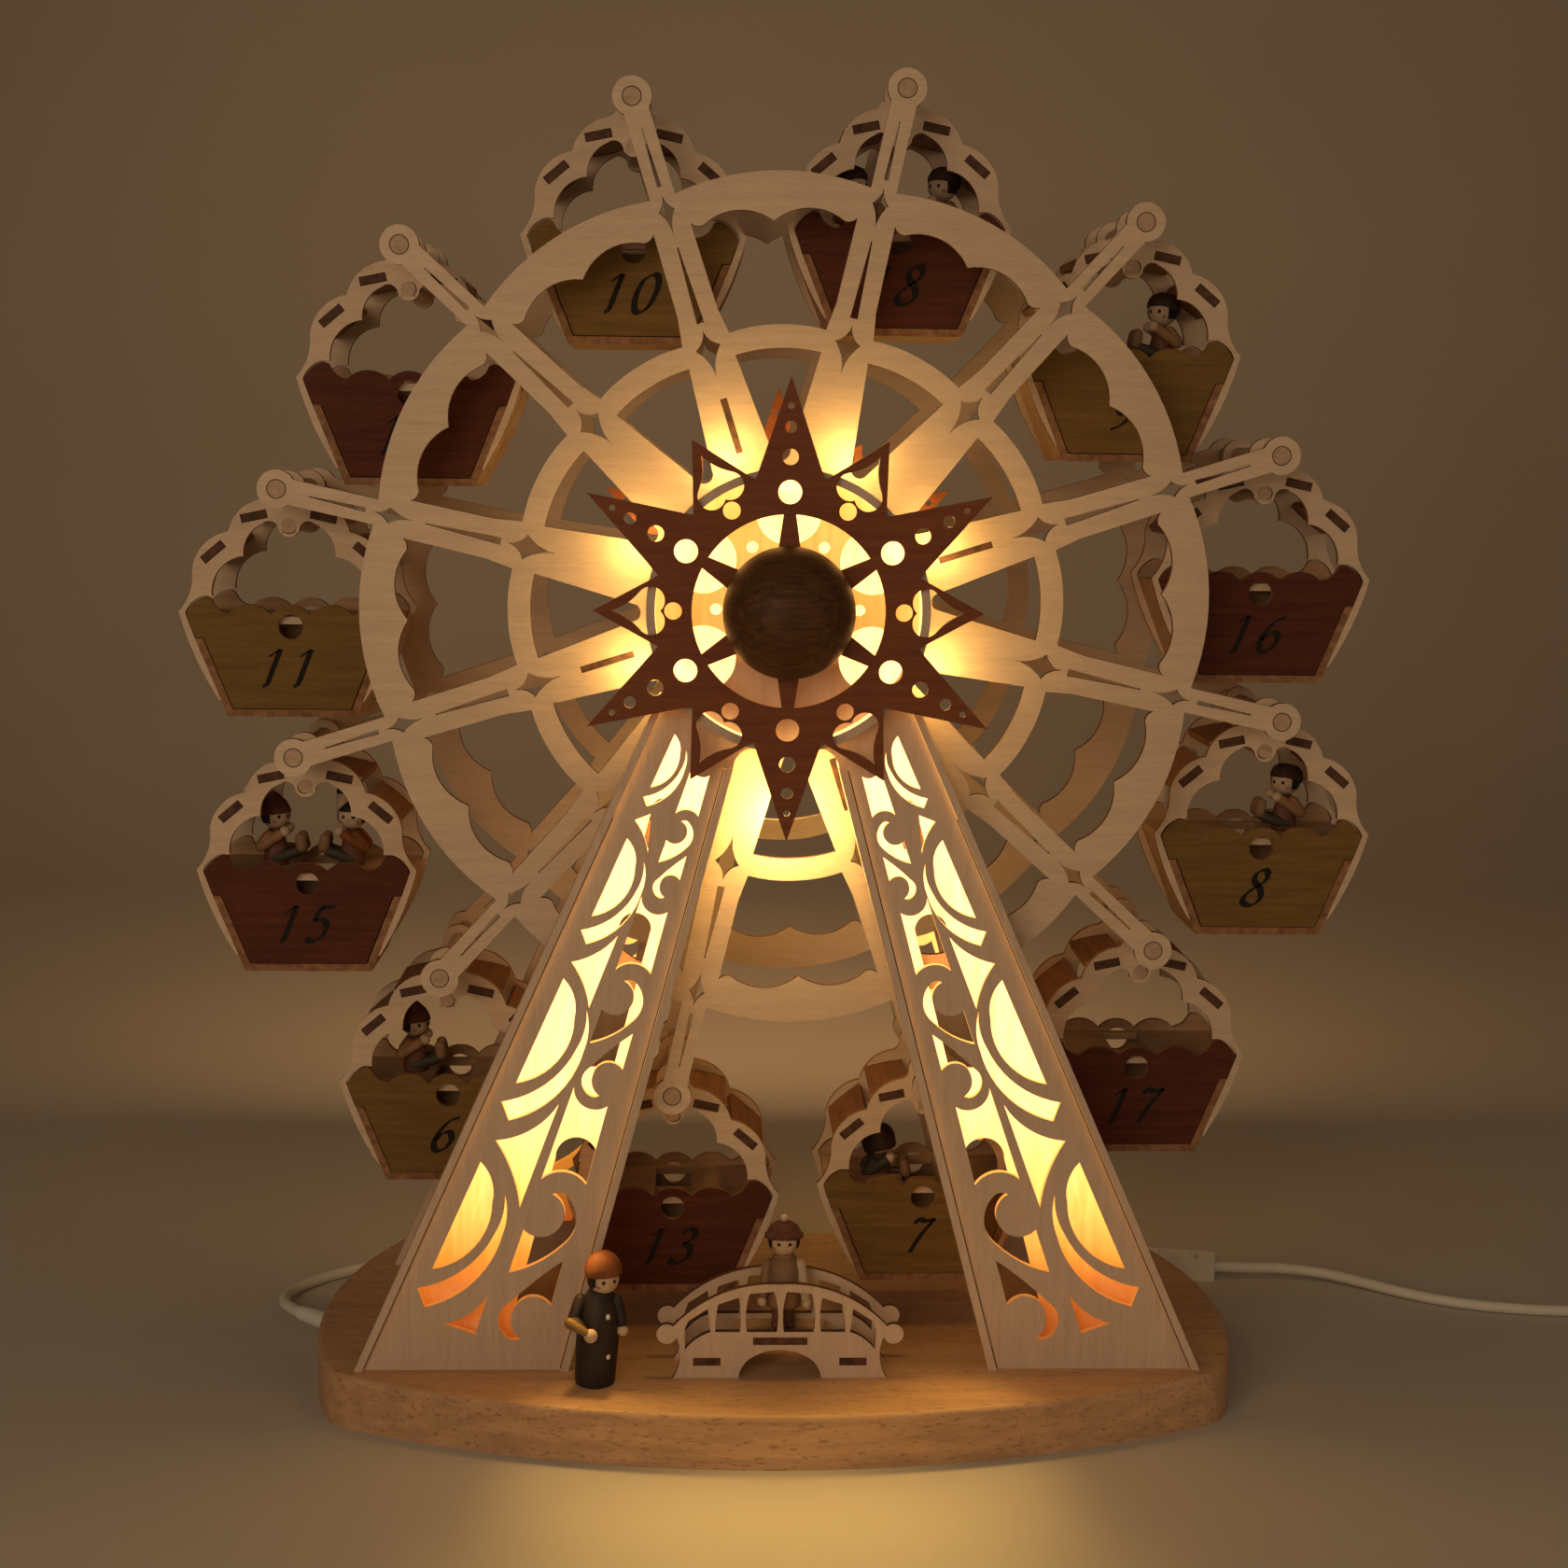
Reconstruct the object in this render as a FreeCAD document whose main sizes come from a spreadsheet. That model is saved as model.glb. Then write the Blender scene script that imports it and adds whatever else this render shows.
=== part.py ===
import FreeCAD, Part
import math
import os

# Illuminated wooden calendar ferris wheel: twelve hanging gondolas with two numbered drawers each.
# X is to the right, Y to the back, Z up. The origin is under the middle of the base, on the table.

Vector = FreeCAD.Vector
doc = FreeCAD.newDocument("ferris_wheel")

# Driving dimensions, in millimetres and degrees
SIZES = {
    "ply": 3, "base_thick": 22, "base_radius": 196, "base_front": 115, "base_rear": 99,
    "base_front_curve": 400, "hub_height": 332, "wheel_radius": 205, "wheel_phase": 12.5,
    "wheel_face": 51, "gondola_face": 25, "pin_radius": 3.5, "pin_hole": 3.57,
    "axle_radius": 4, "bush_bore": 4.05, "bush_radius": 6, "axle_half": 96,
    "pillar_face": 68, "pillar_back": 54, "strip_proud": 2, "star_face": 80, "star_hole": 4.6,
    "drum_radius": 55, "drum_wall": 3.4, "knob_radius": 25.5, "knob_centre": 84, "knob_flat": 81,
    "rib_wide": 22, "rib_radius": 74.3, "rib_thick": 2.7,
    "drawer_proud": 0.5, "tray_back": 2, "deck_level": 52, "bridge_front": 77, "bridge_rear": 53.6,
    "lead_diameter": 5, "coil_radius": 34, "coil_pitch": 5.6,
}

sheet = doc.addObject("Spreadsheet::Sheet", "Sizes")
for row, (word, number) in enumerate(SIZES.items(), start=1):
    sheet.set("A%d" % row, word)
    sheet.set("B%d" % row, str(number))
    sheet.setAlias("B%d" % row, word)
doc.recompute()


def size(word):
    return float(sheet.get(word))


PLY = size("ply")
BASE_TOP = size("base_thick")
HUB = size("hub_height")
PHASE = size("wheel_phase")
REACH = size("wheel_radius")
STEP = 30
GONDOLAS = range(12)
NODES = []


def node(item, label):
    """Names an object that is a sub-part with a file of its own."""
    item.Label = label
    NODES.append(item)
    return item


# Outlines are lists of edges: (start, end) is a line and (start, middle, end) is an arc

def arc(middle, end):
    return ("arc", middle, end)


def run(start, *steps):
    edges = []
    here = start
    for step in steps:
        if step[0] == "arc":
            edges.append((here, step[1], step[2]))
            here = step[2]
        else:
            edges.append((here, step))
            here = step
    return edges


def closed(start, *steps):
    edges = run(start, *steps)
    last = edges[-1][-1]
    if math.dist(last, start) > 1e-6:
        edges.append((last, start))
    return edges


def change(edges, rule):
    return [tuple(rule(point) for point in edge) for edge in edges]


def moved(edges, dx, dz, scale=1.0):
    return change(edges, lambda p: (dx + scale * p[0], dz + scale * p[1]))


def flipped(edges):
    return change(edges, lambda p: (-p[0], p[1]))


def mirrored(edges):
    return edges + flipped(edges)


def turned(edges, degrees):
    """Turns an outline about the origin, clockwise as seen from the front."""
    c, s = math.cos(math.radians(degrees)), math.sin(math.radians(degrees))
    return change(edges, lambda p: (p[0] * c + p[1] * s, -p[0] * s + p[1] * c))


def polar(radius, degrees):
    """A point given from the +Z axis, clockwise as seen from the front."""
    turn = math.radians(degrees)
    return (radius * math.sin(turn), radius * math.cos(turn))


def box_outline(x0, z0, x1, z1):
    return closed((x0, z0), (x1, z0), (x1, z1), (x0, z1))


def circle(x, z, radius):
    return [("circle", x, z, radius)]


def draw(sketch, loops):
    for loop in loops:
        for edge in loop:
            if edge[0] == "circle":
                centre = Vector(edge[1], edge[2], 0)
                sketch.addGeometry(Part.Circle(centre, Vector(0, 0, 1), edge[3]), False)
                continue
            points = [Vector(p[0], p[1], 0) for p in edge]
            if len(points) == 2:
                sketch.addGeometry(Part.LineSegment(*points), False)
            else:
                sketch.addGeometry(Part.ArcOfCircle(*points), False)


FRONTAL = FreeCAD.Rotation(Vector(1, 0, 0), 90)


def plate(name, loops, back, thick="Sizes.ply"):
    """A flat piece in the XZ plane: its back is at Y = back and its front is a thickness nearer."""
    sketch = doc.addObject("Sketcher::SketchObject", name + "_outline")
    draw(sketch, loops)
    sketch.Placement = FreeCAD.Placement(Vector(0, 0, 0), FRONTAL)
    sketch.setExpression("Placement.Base.y", back)
    return grown(name, sketch, thick)


def flat(name, loops, bottom, thick):
    """A flat piece in the XY plane, from Z = bottom upwards."""
    sketch = doc.addObject("Sketcher::SketchObject", name + "_outline")
    draw(sketch, loops)
    sketch.setExpression("Placement.Base.z", bottom)
    return grown(name, sketch, thick)


def grown(name, sketch, thick):
    solid = doc.addObject("Part::Extrusion", name)
    solid.Base = sketch
    solid.DirMode = "Normal"
    solid.Solid = True
    solid.FaceMakerClass = "Part::FaceMakerBullseye"
    solid.setExpression("LengthFwd", thick)
    return solid


def rod(name, radius, length, x="0", y="0", z="0"):
    """A round rod along Y, whose nearer end is at Y = y."""
    item = doc.addObject("Part::Cylinder", name)
    item.setExpression("Radius", radius)
    item.setExpression("Height", length)
    item.Placement = FreeCAD.Placement(Vector(0, 0, 0), FreeCAD.Rotation(Vector(1, 0, 0), -90))
    for axis, text in (("x", x), ("y", y), ("z", z)):
        item.setExpression("Placement.Base." + axis, text)
    return item


def turned_piece(name, profile):
    """A piece turned on a lathe about its own Z axis from half a profile."""
    sketch = doc.addObject("Sketcher::SketchObject", name + "_profile")
    draw(sketch, [profile])
    sketch.Placement = FreeCAD.Placement(Vector(0, 0, 0), FRONTAL)
    solid = doc.addObject("Part::Revolution", name)
    solid.Source = sketch
    solid.Axis = Vector(0, 0, 1)
    solid.Angle = 360
    solid.Solid = True
    return solid


def joined(name, items):
    solid = doc.addObject("Part::MultiFuse", name)
    solid.Shapes = items
    return solid


def cut(name, base, tool):
    solid = doc.addObject("Part::Cut", name)
    solid.Base = base
    solid.Tool = tool
    return solid


def group(name, items, x="0", y="0", z="0", turn=None):
    """A set of pieces that is placed as one."""
    item = doc.addObject("Part::Compound", name)
    item.Links = items
    if turn:
        item.Placement = FreeCAD.Placement(Vector(0, 0, 0), FreeCAD.Rotation(turn[0], turn[1]))
    for axis, text in (("x", x), ("y", y), ("z", z)):
        item.setExpression("Placement.Base." + axis, text)
    return item


# Base board: a disc with a bowed front edge and a straight rear edge

def base_board():
    reach, front, rear = size("base_radius"), -size("base_front"), size("base_rear")
    bow = size("base_front_curve")
    body = doc.addObject("PartDesign::Body", "base_body")
    plane = [item for item in body.Origin.OriginFeatures if item.Role == "XY_Plane"][0]
    sketch = body.newObject("Sketcher::SketchObject", "base_plan")
    sketch.AttachmentSupport = [(plane, "")]
    sketch.MapMode = "FlatFace"
    # the bowed front meets the disc where both circles cross
    gap = front + bow
    low = (gap * gap + reach * reach - bow * bow) / (2 * gap)
    side = math.sqrt(reach * reach - low * low)
    back = math.sqrt(reach * reach - rear * rear)
    edges = closed((side, low), arc((reach, 0.0), (back, rear)), (-back, rear),
                   arc((-reach, 0.0), (-side, low)), arc((0.0, front), (side, low)))
    draw(sketch, [edges])
    pad = body.newObject("PartDesign::Pad", "base_pad")
    pad.Profile = sketch
    pad.setExpression("Length", "Sizes.base_thick")
    # wide corners at the front and small ones at the back
    corners = pad
    for name, radius, place in (("base_front_corners", 22.0, low), ("base_rear_corners", 7.0, rear)):
        doc.recompute()
        upright = [n for n, edge in enumerate(corners.Shape.Edges, start=1)
                   if edge.BoundBox.ZLength > size("base_thick") - 1e-6
                   and edge.BoundBox.XLength < 1e-6 and abs(edge.BoundBox.YMin - place) < 1e-3]
        rounded = body.newObject("PartDesign::Fillet", name)
        rounded.Base = (corners, ["Edge%d" % n for n in upright])
        rounded.Radius = radius
        corners = rounded
    doc.recompute()
    rim = [n for n, edge in enumerate(corners.Shape.Edges, start=1)
           if edge.BoundBox.ZMin > size("base_thick") - 1e-6]
    eased = body.newObject("PartDesign::Fillet", "base_eased_rim")
    eased.Base = (corners, ["Edge%d" % n for n in rim])
    eased.Radius = 2.5
    body.Tip = eased
    return node(body, "base_board")


# A-frames: two hollow legs and a head, with a carved outer panel and a plain inner panel

LEG_OUTER = ((172.6, 0.0), (50.1, 276.0))
LEG_INNER = ((85.8, 0.0), (20.8, 247.7))
STRIP = 3.3


def leg_x(line, height, inset=0.0):
    (x0, z0), (x1, z1) = line
    return x0 + (x1 - x0) * (height - z0) / (z1 - z0) + inset


def frame_outline():
    """Half of the A-frame, from the top of its head round to the web between the legs."""
    drum = size("drum_radius")
    head = HUB - BASE_TOP
    x0, x1 = leg_x(LEG_OUTER, 0.0, -STRIP), leg_x(LEG_OUTER, head, -STRIP)
    slope = (x1 - x0) / head
    # where the leg's outer edge enters the round head
    a, b, c = 1 + slope * slope, 2 * slope * x1, x1 * x1 - drum * drum
    rise = (-b - math.sqrt(b * b - 4 * a * c)) / (2 * a)
    entry = (x1 + slope * rise, rise)
    start = math.degrees(math.atan2(entry[0], entry[1]))
    edges = run((0.0, drum), arc(polar(drum, start / 2), entry), (x0, -head),
                (leg_x(LEG_INNER, 0.0, STRIP), -head), (leg_x(LEG_INNER, 247.7, STRIP), 247.7 - head),
                (leg_x(LEG_INNER, 247.7), 247.7 - head), arc((18.6, -57.0), (13.0, -54.3)), (0.0, -54.3))
    return moved(edges, 0.0, HUB)


# The carved pattern of one leg: leaves with a crescent beside them, and scrolls along the inside.
# Heights count from the top of the base board.
LEAF = closed((0, 0), (19.9, 44.9), arc((24.2, 37.5), (24.4, 28.0)), arc((17.8, 10.0), (0, 0)))
CRESCENT = closed((-6.1, -7.9), arc((13.5, 0.5), (25.3, 14.9)), arc((28.6, 22.6), (29.5, 31.3)),
                  arc((30.3, 23.5), (28.3, 14.0)), arc((16.5, -5.6), (-3.2, -16.1)))
CORNER = closed((4.7, -23.3), arc((14.9, -18.9), (22.5, -11.0)), (17.1, -27.6))
SCROLL = closed((0, 0), (6.1, 18.1), arc((13.5, 15.0), (20.3, 18.6)), arc((22.6, 26.0), (17.8, 32.9)),
                arc((20.4, 33.6), (23.0, 32.9)), arc((27.3, 24.0), (21.9, 11.4)), arc((12.5, 4.6), (0, 0)))
COMMA = closed((22.2, 5.1), (16.9, -14.2), arc((8.6, -10.3), (1.6, -16.5)), arc((1.2, -23.0), (4.8, -28.1)),
               arc((2.3, -28.8), (-0.2, -28.1)), arc((-4.4, -20.5), (-0.1, -13.0)),
               arc((10.1, -3.9), (22.2, 5.1)))
PANE = closed((26.5, 77.4), arc((31.5, 68.8), (39.9, 69.4)), (31.3, 36.8), arc((22.7, 42.2), (13.3, 39.1)))
LEAVES = (((-140.7, 42.7), 1.0), ((-106.5, 120.1), 0.956), ((-76.3, 188.2), 0.70), ((-53.2, 239.9), 0.47))
SCROLLS = (((-109.9, 41.2), 1.0), ((-77.0, 136.6), 0.77), ((-50.0, 210.0), 0.5))
SPANDRELS = (
    closed((-114.8, 96.5), arc((-101.4, 100.4), (-89.4, 111.6)), (-105.3, 68.5), arc((-108.5, 83.5), (-114.8, 96.5))),
    closed((-84.4, 169.7), arc((-74.6, 173.2), (-65.9, 180.4)), (-77.4, 151.0), arc((-79.6, 160.5), (-84.4, 169.7))),
    closed((-59.4, 226.9), (-52.8, 229.5), (-54.2, 214.0), arc((-56.0, 221.0), (-59.4, 226.9))),
)
# The tall round-topped windows of the inner panels: middle of the sill, its height, width and height
WINDOWS = ((-100.4, 20.0, 17.0, 66.0), (-74.5, 124.0, 13.0, 57.0), (-52.5, 214.0, 9.0, 15.5))


def carving():
    """All the cut-outs of the left leg."""
    loops = []
    for (x, z), scale in LEAVES:
        loops.append(moved(LEAF, x, z, scale))
        loops.append(moved(CRESCENT, x, z, scale))
    loops.append(moved(CORNER, *LEAVES[0][0]))
    for (x, z), scale in SCROLLS:
        loops.append(moved(SCROLL, x, z, scale))
        loops.append(moved(COMMA, x, z, scale))
        loops.append(moved(PANE, x, z, scale))
    loops.extend(SPANDRELS)
    return [moved(loop, 0.0, BASE_TOP) for loop in loops]


def both_legs(loops):
    return loops + [flipped(loop) for loop in loops]


def a_frames():
    outline = mirrored(frame_outline())
    bush = circle(0, HUB, size("bush_radius"))
    petals = [circle(x, HUB + z, 12.8) for x, z in (polar(38.0, a) for a in (0, 60, -60, 120, -120))]
    eyes = [circle(x, HUB + z, 2.3) for x, z in (polar(28.0, a) for a in (30, -30, 90, -90))]
    carved = [outline, bush] + petals + eyes + both_legs(carving())
    panes = []
    for x, z, wide, tall in WINDOWS:
        half = wide / 2
        lean = -leg_x(LEG_INNER, z + tall) + leg_x(LEG_INNER, z)
        panes.append(closed((x - half, z), (x + half, z), (x + half + lean, z + tall),
                            arc((x + lean, z + tall + half), (x - half + lean, z + tall))))
    plain = [outline, bush] + both_legs([moved(pane, 0.0, BASE_TOP) for pane in panes])
    node(plate("front_outer", carved, "-Sizes.pillar_face + Sizes.ply"), "front_outer_panel")
    node(plate("rear_outer", carved, "Sizes.pillar_face"), "rear_outer_panel")
    node(group("inner_pair", [plate("front_inner", plain, "-Sizes.pillar_back"),
                              plate("rear_inner", plain, "Sizes.pillar_back + Sizes.ply")]), "inner_panels")
    strips = []
    for line, side in ((LEG_OUTER, -STRIP), (LEG_INNER, STRIP)):
        (x0, z0), (x1, z1) = line
        loop = closed((x0, z0 + BASE_TOP), (x1, z1 + BASE_TOP), (x1 + side, z1 + BASE_TOP), (x0 + side, z0 + BASE_TOP))
        for name, edges in (("right", loop), ("left", flipped(loop))):
            depth = "Sizes.pillar_face + Sizes.strip_proud - Sizes.pillar_back"
            strips.append(plate("strip", [edges], "-Sizes.pillar_back", depth))
            strips.append(plate("strip", [edges], "Sizes.pillar_face + Sizes.strip_proud", depth))
    node(group("strip_set", strips), "pillar_side_walls")


# Hub: lamp drums, bushes, stars, axle and the ball knobs that the wheel is turned by

def drums_and_bushes():
    ring = [circle(0, HUB, size("drum_radius")), circle(0, HUB, size("drum_radius") - size("drum_wall"))]
    inside = "Sizes.pillar_face - Sizes.pillar_back - 2 * Sizes.ply"
    outside = "Sizes.star_face - Sizes.ply - Sizes.pillar_face"
    rings = [plate("lamp_ring", [ring[0], ring[1]], "-Sizes.pillar_back - Sizes.ply", inside),
             plate("lamp_ring", [ring[0], ring[1]], "Sizes.pillar_face - Sizes.ply", inside),
             plate("front_ring", [ring[0], ring[1]], "-Sizes.pillar_face", outside),
             plate("rear_ring", [ring[0], ring[1]], "Sizes.star_face - Sizes.ply", outside)]
    node(group("drum_set", rings), "hub_drums")
    bore = [circle(0, HUB, size("bush_radius")), circle(0, HUB, size("bush_bore"))]
    depth = "Sizes.pillar_face - Sizes.pillar_back"
    node(group("bush_pair", [plate("bush", bore, "-Sizes.pillar_back", depth),
                             plate("bush", bore, "Sizes.pillar_face", depth)]), "axle_bushes")


def star():
    """Six long spikes with holes, six open kites between them, and a ring with six teeth."""
    tip, kite, valley, opening = 89.5, 75.3, 52.0, 37.4
    edges = []
    for k in range(6):
        spoke = run((0.0, tip), polar(valley, 14.8), polar(kite, 30.0), polar(valley, 45.2), polar(tip, 60.0))
        edges += turned(spoke, 60 * k)
    loops = [edges]
    for k in range(6):
        spike, middle = 60 * k, 60 * k + 30
        for radius, hole in ((45.8, 4.6), (59.1, 3.15), (70.4, 2.3), (78.3, 1.25)):
            loops.append(circle(*polar(radius, spike), hole))
        loops.append(circle(*polar(44.5, middle), 3.4))
        half = run((0.0, 68.6), arc((2.9, 62.2), (7.2, 57.4)), arc((9.4, 53.2), (8.0, 49.4)),
                   arc((4.7, 47.7), (0.0, 49.4)))
        loops.append(turned(mirrored(half), middle))
        pane = run(polar(opening, 0), arc(polar(opening, 13), polar(opening, 26.4)), polar(24.0, 19.6),
                   arc(polar(24.0, 10), polar(24.0, 0)))
        loops.append(turned(mirrored(pane), middle))
    loops.append(circle(0, 0, size("star_hole")))
    flat_loops = []
    for loop in loops:
        if loop[0][0] == "circle":
            flat_loops.append(circle(loop[0][1], loop[0][2] + HUB, loop[0][3]))
        else:
            flat_loops.append(moved(loop, 0.0, HUB))
    return flat_loops


def hub():
    drums_and_bushes()
    loops = star()
    node(group("star_pair", [plate("front_star", loops, "-Sizes.star_face + Sizes.ply"),
                             plate("rear_star", loops, "Sizes.star_face")]), "hub_stars")
    node(rod("axle", "Sizes.axle_radius", "2 * Sizes.axle_half", y="-Sizes.axle_half", z="Sizes.hub_height"),
         "wheel_axle")
    # a ball with a flat back, bored for the axle's end
    ball, flat_back = size("knob_radius"), size("knob_centre") - size("knob_flat")
    rim = math.sqrt(ball * ball - flat_back * flat_back)
    bore, depth = size("axle_radius"), size("axle_half") - size("knob_centre")
    profile = closed((bore, flat_back), (rim, flat_back), arc((ball, 0.0), polar(ball, 135)),
                     arc(polar(ball, 158), (0.0, -ball)), (0.0, -depth), (bore, -depth))
    knob = turned_piece("knob", profile)
    front = group("front_knob", [knob], y="-Sizes.knob_centre", z="Sizes.hub_height", turn=(Vector(1, 0, 0), -90))
    rear = group("rear_knob", [knob], y="Sizes.knob_centre", z="Sizes.hub_height", turn=(Vector(1, 0, 0), 90))
    node(group("knob_pair", [front, rear]), "hub_knobs")


# Wheel: two plates of twelve spokes, four ribs between them, and twelve pins for the gondolas

def wheel_plate():
    arm, lug = 5.0, 7.6
    neck = REACH - math.sqrt(lug * lug - arm * arm)
    edges = []
    for k in GONDOLAS:
        spoke = run(polar(165.5, -1.73), (-arm, neck), arc((0.0, REACH + lug), (arm, neck)), polar(165.5, 1.73),
                    arc(polar(168.7, 15.0), polar(165.5, 28.27)))
        edges += turned(spoke, STEP * k)
    loops = [edges]
    outer = run(polar(149.7, 0), arc(polar(154.9, 5.7), polar(151.3, 10.5)), arc(polar(151.7, 11.5), polar(153.4, 12.2)),
                polar(120.0, 11.2), polar(109.2, 10.0), arc(polar(110.1, 5.0), polar(110.3, 0)))
    inner = run(polar(101.3, 0), arc(polar(101.1, 5.0), polar(100.4, 9.6)), polar(60.5, 3.2),
                arc(polar(58.6, 2.2), polar(57.8, 0)))
    rim_diamond = closed((0.0, 167.3), arc((1.1, 162.6), (3.2, 160.0)), arc((1.1, 156.2), (0.0, 150.2)),
                         arc((-1.1, 156.2), (-3.2, 160.0)), arc((-1.1, 162.6), (0.0, 167.3)))
    ring_diamond = closed((0.0, 113.0), arc((1.6, 108.5), (5.1, 105.7)), arc((1.8, 101.0), (0.0, 93.2)),
                          arc((-1.8, 101.0), (-5.1, 105.7)), arc((-1.6, 108.5), (0.0, 113.0)))
    arm_slit = closed((-0.25, 192.0), (0.25, 192.0), (0.9, 169.4), (-0.9, 169.4))
    spoke_slit = closed((-0.25, 145.7), (0.25, 145.7), (1.5, 115.5), (-1.5, 115.5))
    for k in GONDOLAS:
        for loop in (rim_diamond, ring_diamond, arm_slit, spoke_slit):
            loops.append(turned(loop, STEP * k))
        for half in (outer, inner):
            loops.append(turned(mirrored(half), STEP * k + STEP / 2))
        loops.append(circle(*polar(REACH, STEP * k + PHASE), size("pin_radius")))
    half, centre, thick = size("rib_wide") / 2, size("rib_radius"), size("rib_thick") / 2
    for k in (-1, 2, 5, 8):
        loops.append(turned(box_outline(-thick, centre - half, thick, centre + half), STEP * k))
    loops.append(circle(0, 0, size("axle_radius")))
    placed = []
    for loop in loops:
        if loop[0][0] == "circle":
            placed.append(circle(loop[0][1], loop[0][2] + HUB, loop[0][3]))
        else:
            placed.append(moved(turned(loop, PHASE), 0.0, HUB))
    return placed


def wheel():
    loops = wheel_plate()
    node(plate("front_wheel", loops, "-Sizes.wheel_face + Sizes.ply"), "front_wheel_plate")
    node(plate("rear_wheel", loops, "Sizes.wheel_face"), "rear_wheel_plate")
    half, centre, thick = size("rib_wide") / 2, size("rib_radius"), size("rib_thick") / 2
    ribs = []
    for k in (-1, 2, 5, 8):
        loop = turned(box_outline(-thick, centre - half, thick, centre + half), STEP * k + PHASE)
        ribs.append(plate("rib", [moved(loop, 0.0, HUB)], "Sizes.wheel_face", "2 * Sizes.wheel_face"))
    node(group("rib_set", ribs), "wheel_ribs")
    pins = []
    for k in GONDOLAS:
        angle = "Sizes.wheel_phase + %d" % (STEP * k)
        pins.append(rod("pin", "Sizes.pin_radius", "2 * Sizes.wheel_face", "Sizes.wheel_radius * sin(%s)" % angle,
                        "-Sizes.wheel_face", "Sizes.hub_height + Sizes.wheel_radius * cos(%s)" % angle))
    node(group("pin_set", pins), "gondola_pins")


# Gondola: heights count from its pivot

def gondola_plate_loops():
    outer = run((0.0, 7.0), arc((5.6, 4.2), (6.9, -1.2)), arc((8.0, -3.2), (10.5, -4.4)),
                arc((18.9, -8.4), (24.4, -17.6)), arc((33.6, -22.2), (39.2, -33.0)), arc((40.2, -42.0), (45.0, -50.0)),
                arc((38.9, -68.0), (29.4, -86.0)), (28.74, -86.0), (38.7, -61.0), (42.4, -50.8),
                arc((39.5, -46.2), (35.0, -43.6)), (31.5, -43.6), arc((29.4, -34.4), (18.5, -27.4)),
                arc((16.6, -19.5), (10.5, -14.3)), arc((6.8, -13.4), (4.1, -16.95)), arc((2.6, -18.8), (0.0, -19.6)))
    slots = [circle(0, 0, size("pin_hole")), circle(0, -15.1, 3.0)]
    for x, z, tilt, wide in ROOF:
        for side in (1, -1):
            slots.append(moved(turned(box_outline(-wide / 2, -1.7, wide / 2, 1.7), side * tilt), side * x, z))
    return [mirrored(outer)] + slots


ROOF = ((14.0, -11.4, 12.0, 10.2), (30.6, -25.9, 40.0, 11.0))
BOARD_WIDE = (17.0, 17.5)


def roof_boards():
    boards = []
    inside = size("gondola_face") - PLY
    face = size("gondola_face")
    for (x, z, tilt, slot), wide in zip(ROOF, BOARD_WIDE):
        tongue, half = slot / 2 - 0.1, wide / 2
        plan = closed((tongue, inside), (tongue, face), (-tongue, face), (-tongue, inside), (-half, inside),
                      (-half, -inside), (-tongue, -inside), (-tongue, -face), (tongue, -face), (tongue, -inside),
                      (half, -inside), (half, inside))
        board = flat("roof_board", [plan], "-Sizes.ply / 2", "Sizes.ply")
        for side in (1, -1):
            boards.append(group("roof_place", [board], x=str(side * x), z=str(z), turn=(Vector(0, 1, 0), side * tilt)))
    return boards


def gondola_shell():
    loops = gondola_plate_loops()
    inside = "2 * Sizes.gondola_face - 2 * Sizes.ply"
    pieces = [plate("gondola_front", loops, "-Sizes.gondola_face + Sizes.ply"),
              plate("gondola_back", loops, "Sizes.gondola_face")]
    # each side wall is narrow above the drawer front's ears and shows its ends below them
    upper = closed((37.9, -55.0), (41.1, -55.0), (38.7, -61.0), (35.5, -61.0))
    lower = closed((35.5, -61.0), (38.7, -61.0), (26.1, -92.6), (22.9, -92.6))
    for edges in (upper, flipped(upper)):
        pieces.append(plate("wall_top", [edges], "Sizes.gondola_face - Sizes.ply", inside))
    for edges in (lower, flipped(lower)):
        pieces.append(plate("wall_foot", [edges], "Sizes.gondola_face", "2 * Sizes.gondola_face"))
    floor = closed((24.1, -89.6), (22.9, -92.6), (-22.9, -92.6), (-24.1, -89.6))
    pieces.append(plate("gondola_floor", [floor], "Sizes.gondola_face", "2 * Sizes.gondola_face"))
    middle = mirrored(run((0.0, -55.0), (37.9, -55.0), (35.5, -61.0), (24.1, -89.6), (0.0, -89.6)))
    pieces.append(plate("gondola_middle", [middle], "Sizes.ply / 2"))
    deep, half = size("gondola_face") - PLY, 7.8
    deck = [box_outline(-41.0, -deep, 41.0, deep), box_outline(-half, -18.0, half, 18.0)]
    pieces.append(flat("gondola_deck", deck, "-Sizes.deck_level - Sizes.ply", "Sizes.ply"))
    pieces.append(rod("hanger_rod", "3", "2 * Sizes.gondola_face", y="-Sizes.gondola_face", z="-15.1"))
    return pieces + roof_boards()


def peg_doll(name, tall, wide, head):
    """A turned doll: a bell-shaped body, a round head and a cap, with its feet at height 0."""
    neck = tall - 1.75 * head
    chin = math.sqrt(max(head * head - (0.8 * head) ** 2, 0.1))
    top = tall - head
    profile = closed((0.0, 0.0), (wide, 0.0), arc((wide * 0.96, neck * 0.55), (chin + 0.6, neck)),
                     (chin, top - 0.8 * head), arc((head, top), (0.0, top + head)))
    return turned_piece(name, profile)


# Riders by gondola: (place across the deck, tall, wide, head)
RIDERS = {0: ((19.5, 27.2, 5.4, 6.1), (-17.5, 27.2, 5.4, 6.1)), 1: ((17.5, 27.2, 5.6, 6.1),),
          3: ((15.5, 27.0, 5.4, 6.0),), 5: ((-17.0, 18.5, 5.2, 5.6),), 7: ((-16.5, 27.0, 5.4, 6.0),),
          8: ((-17.0, 27.2, 5.5, 6.1), (15.0, 27.2, 5.3, 6.1))}


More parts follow.
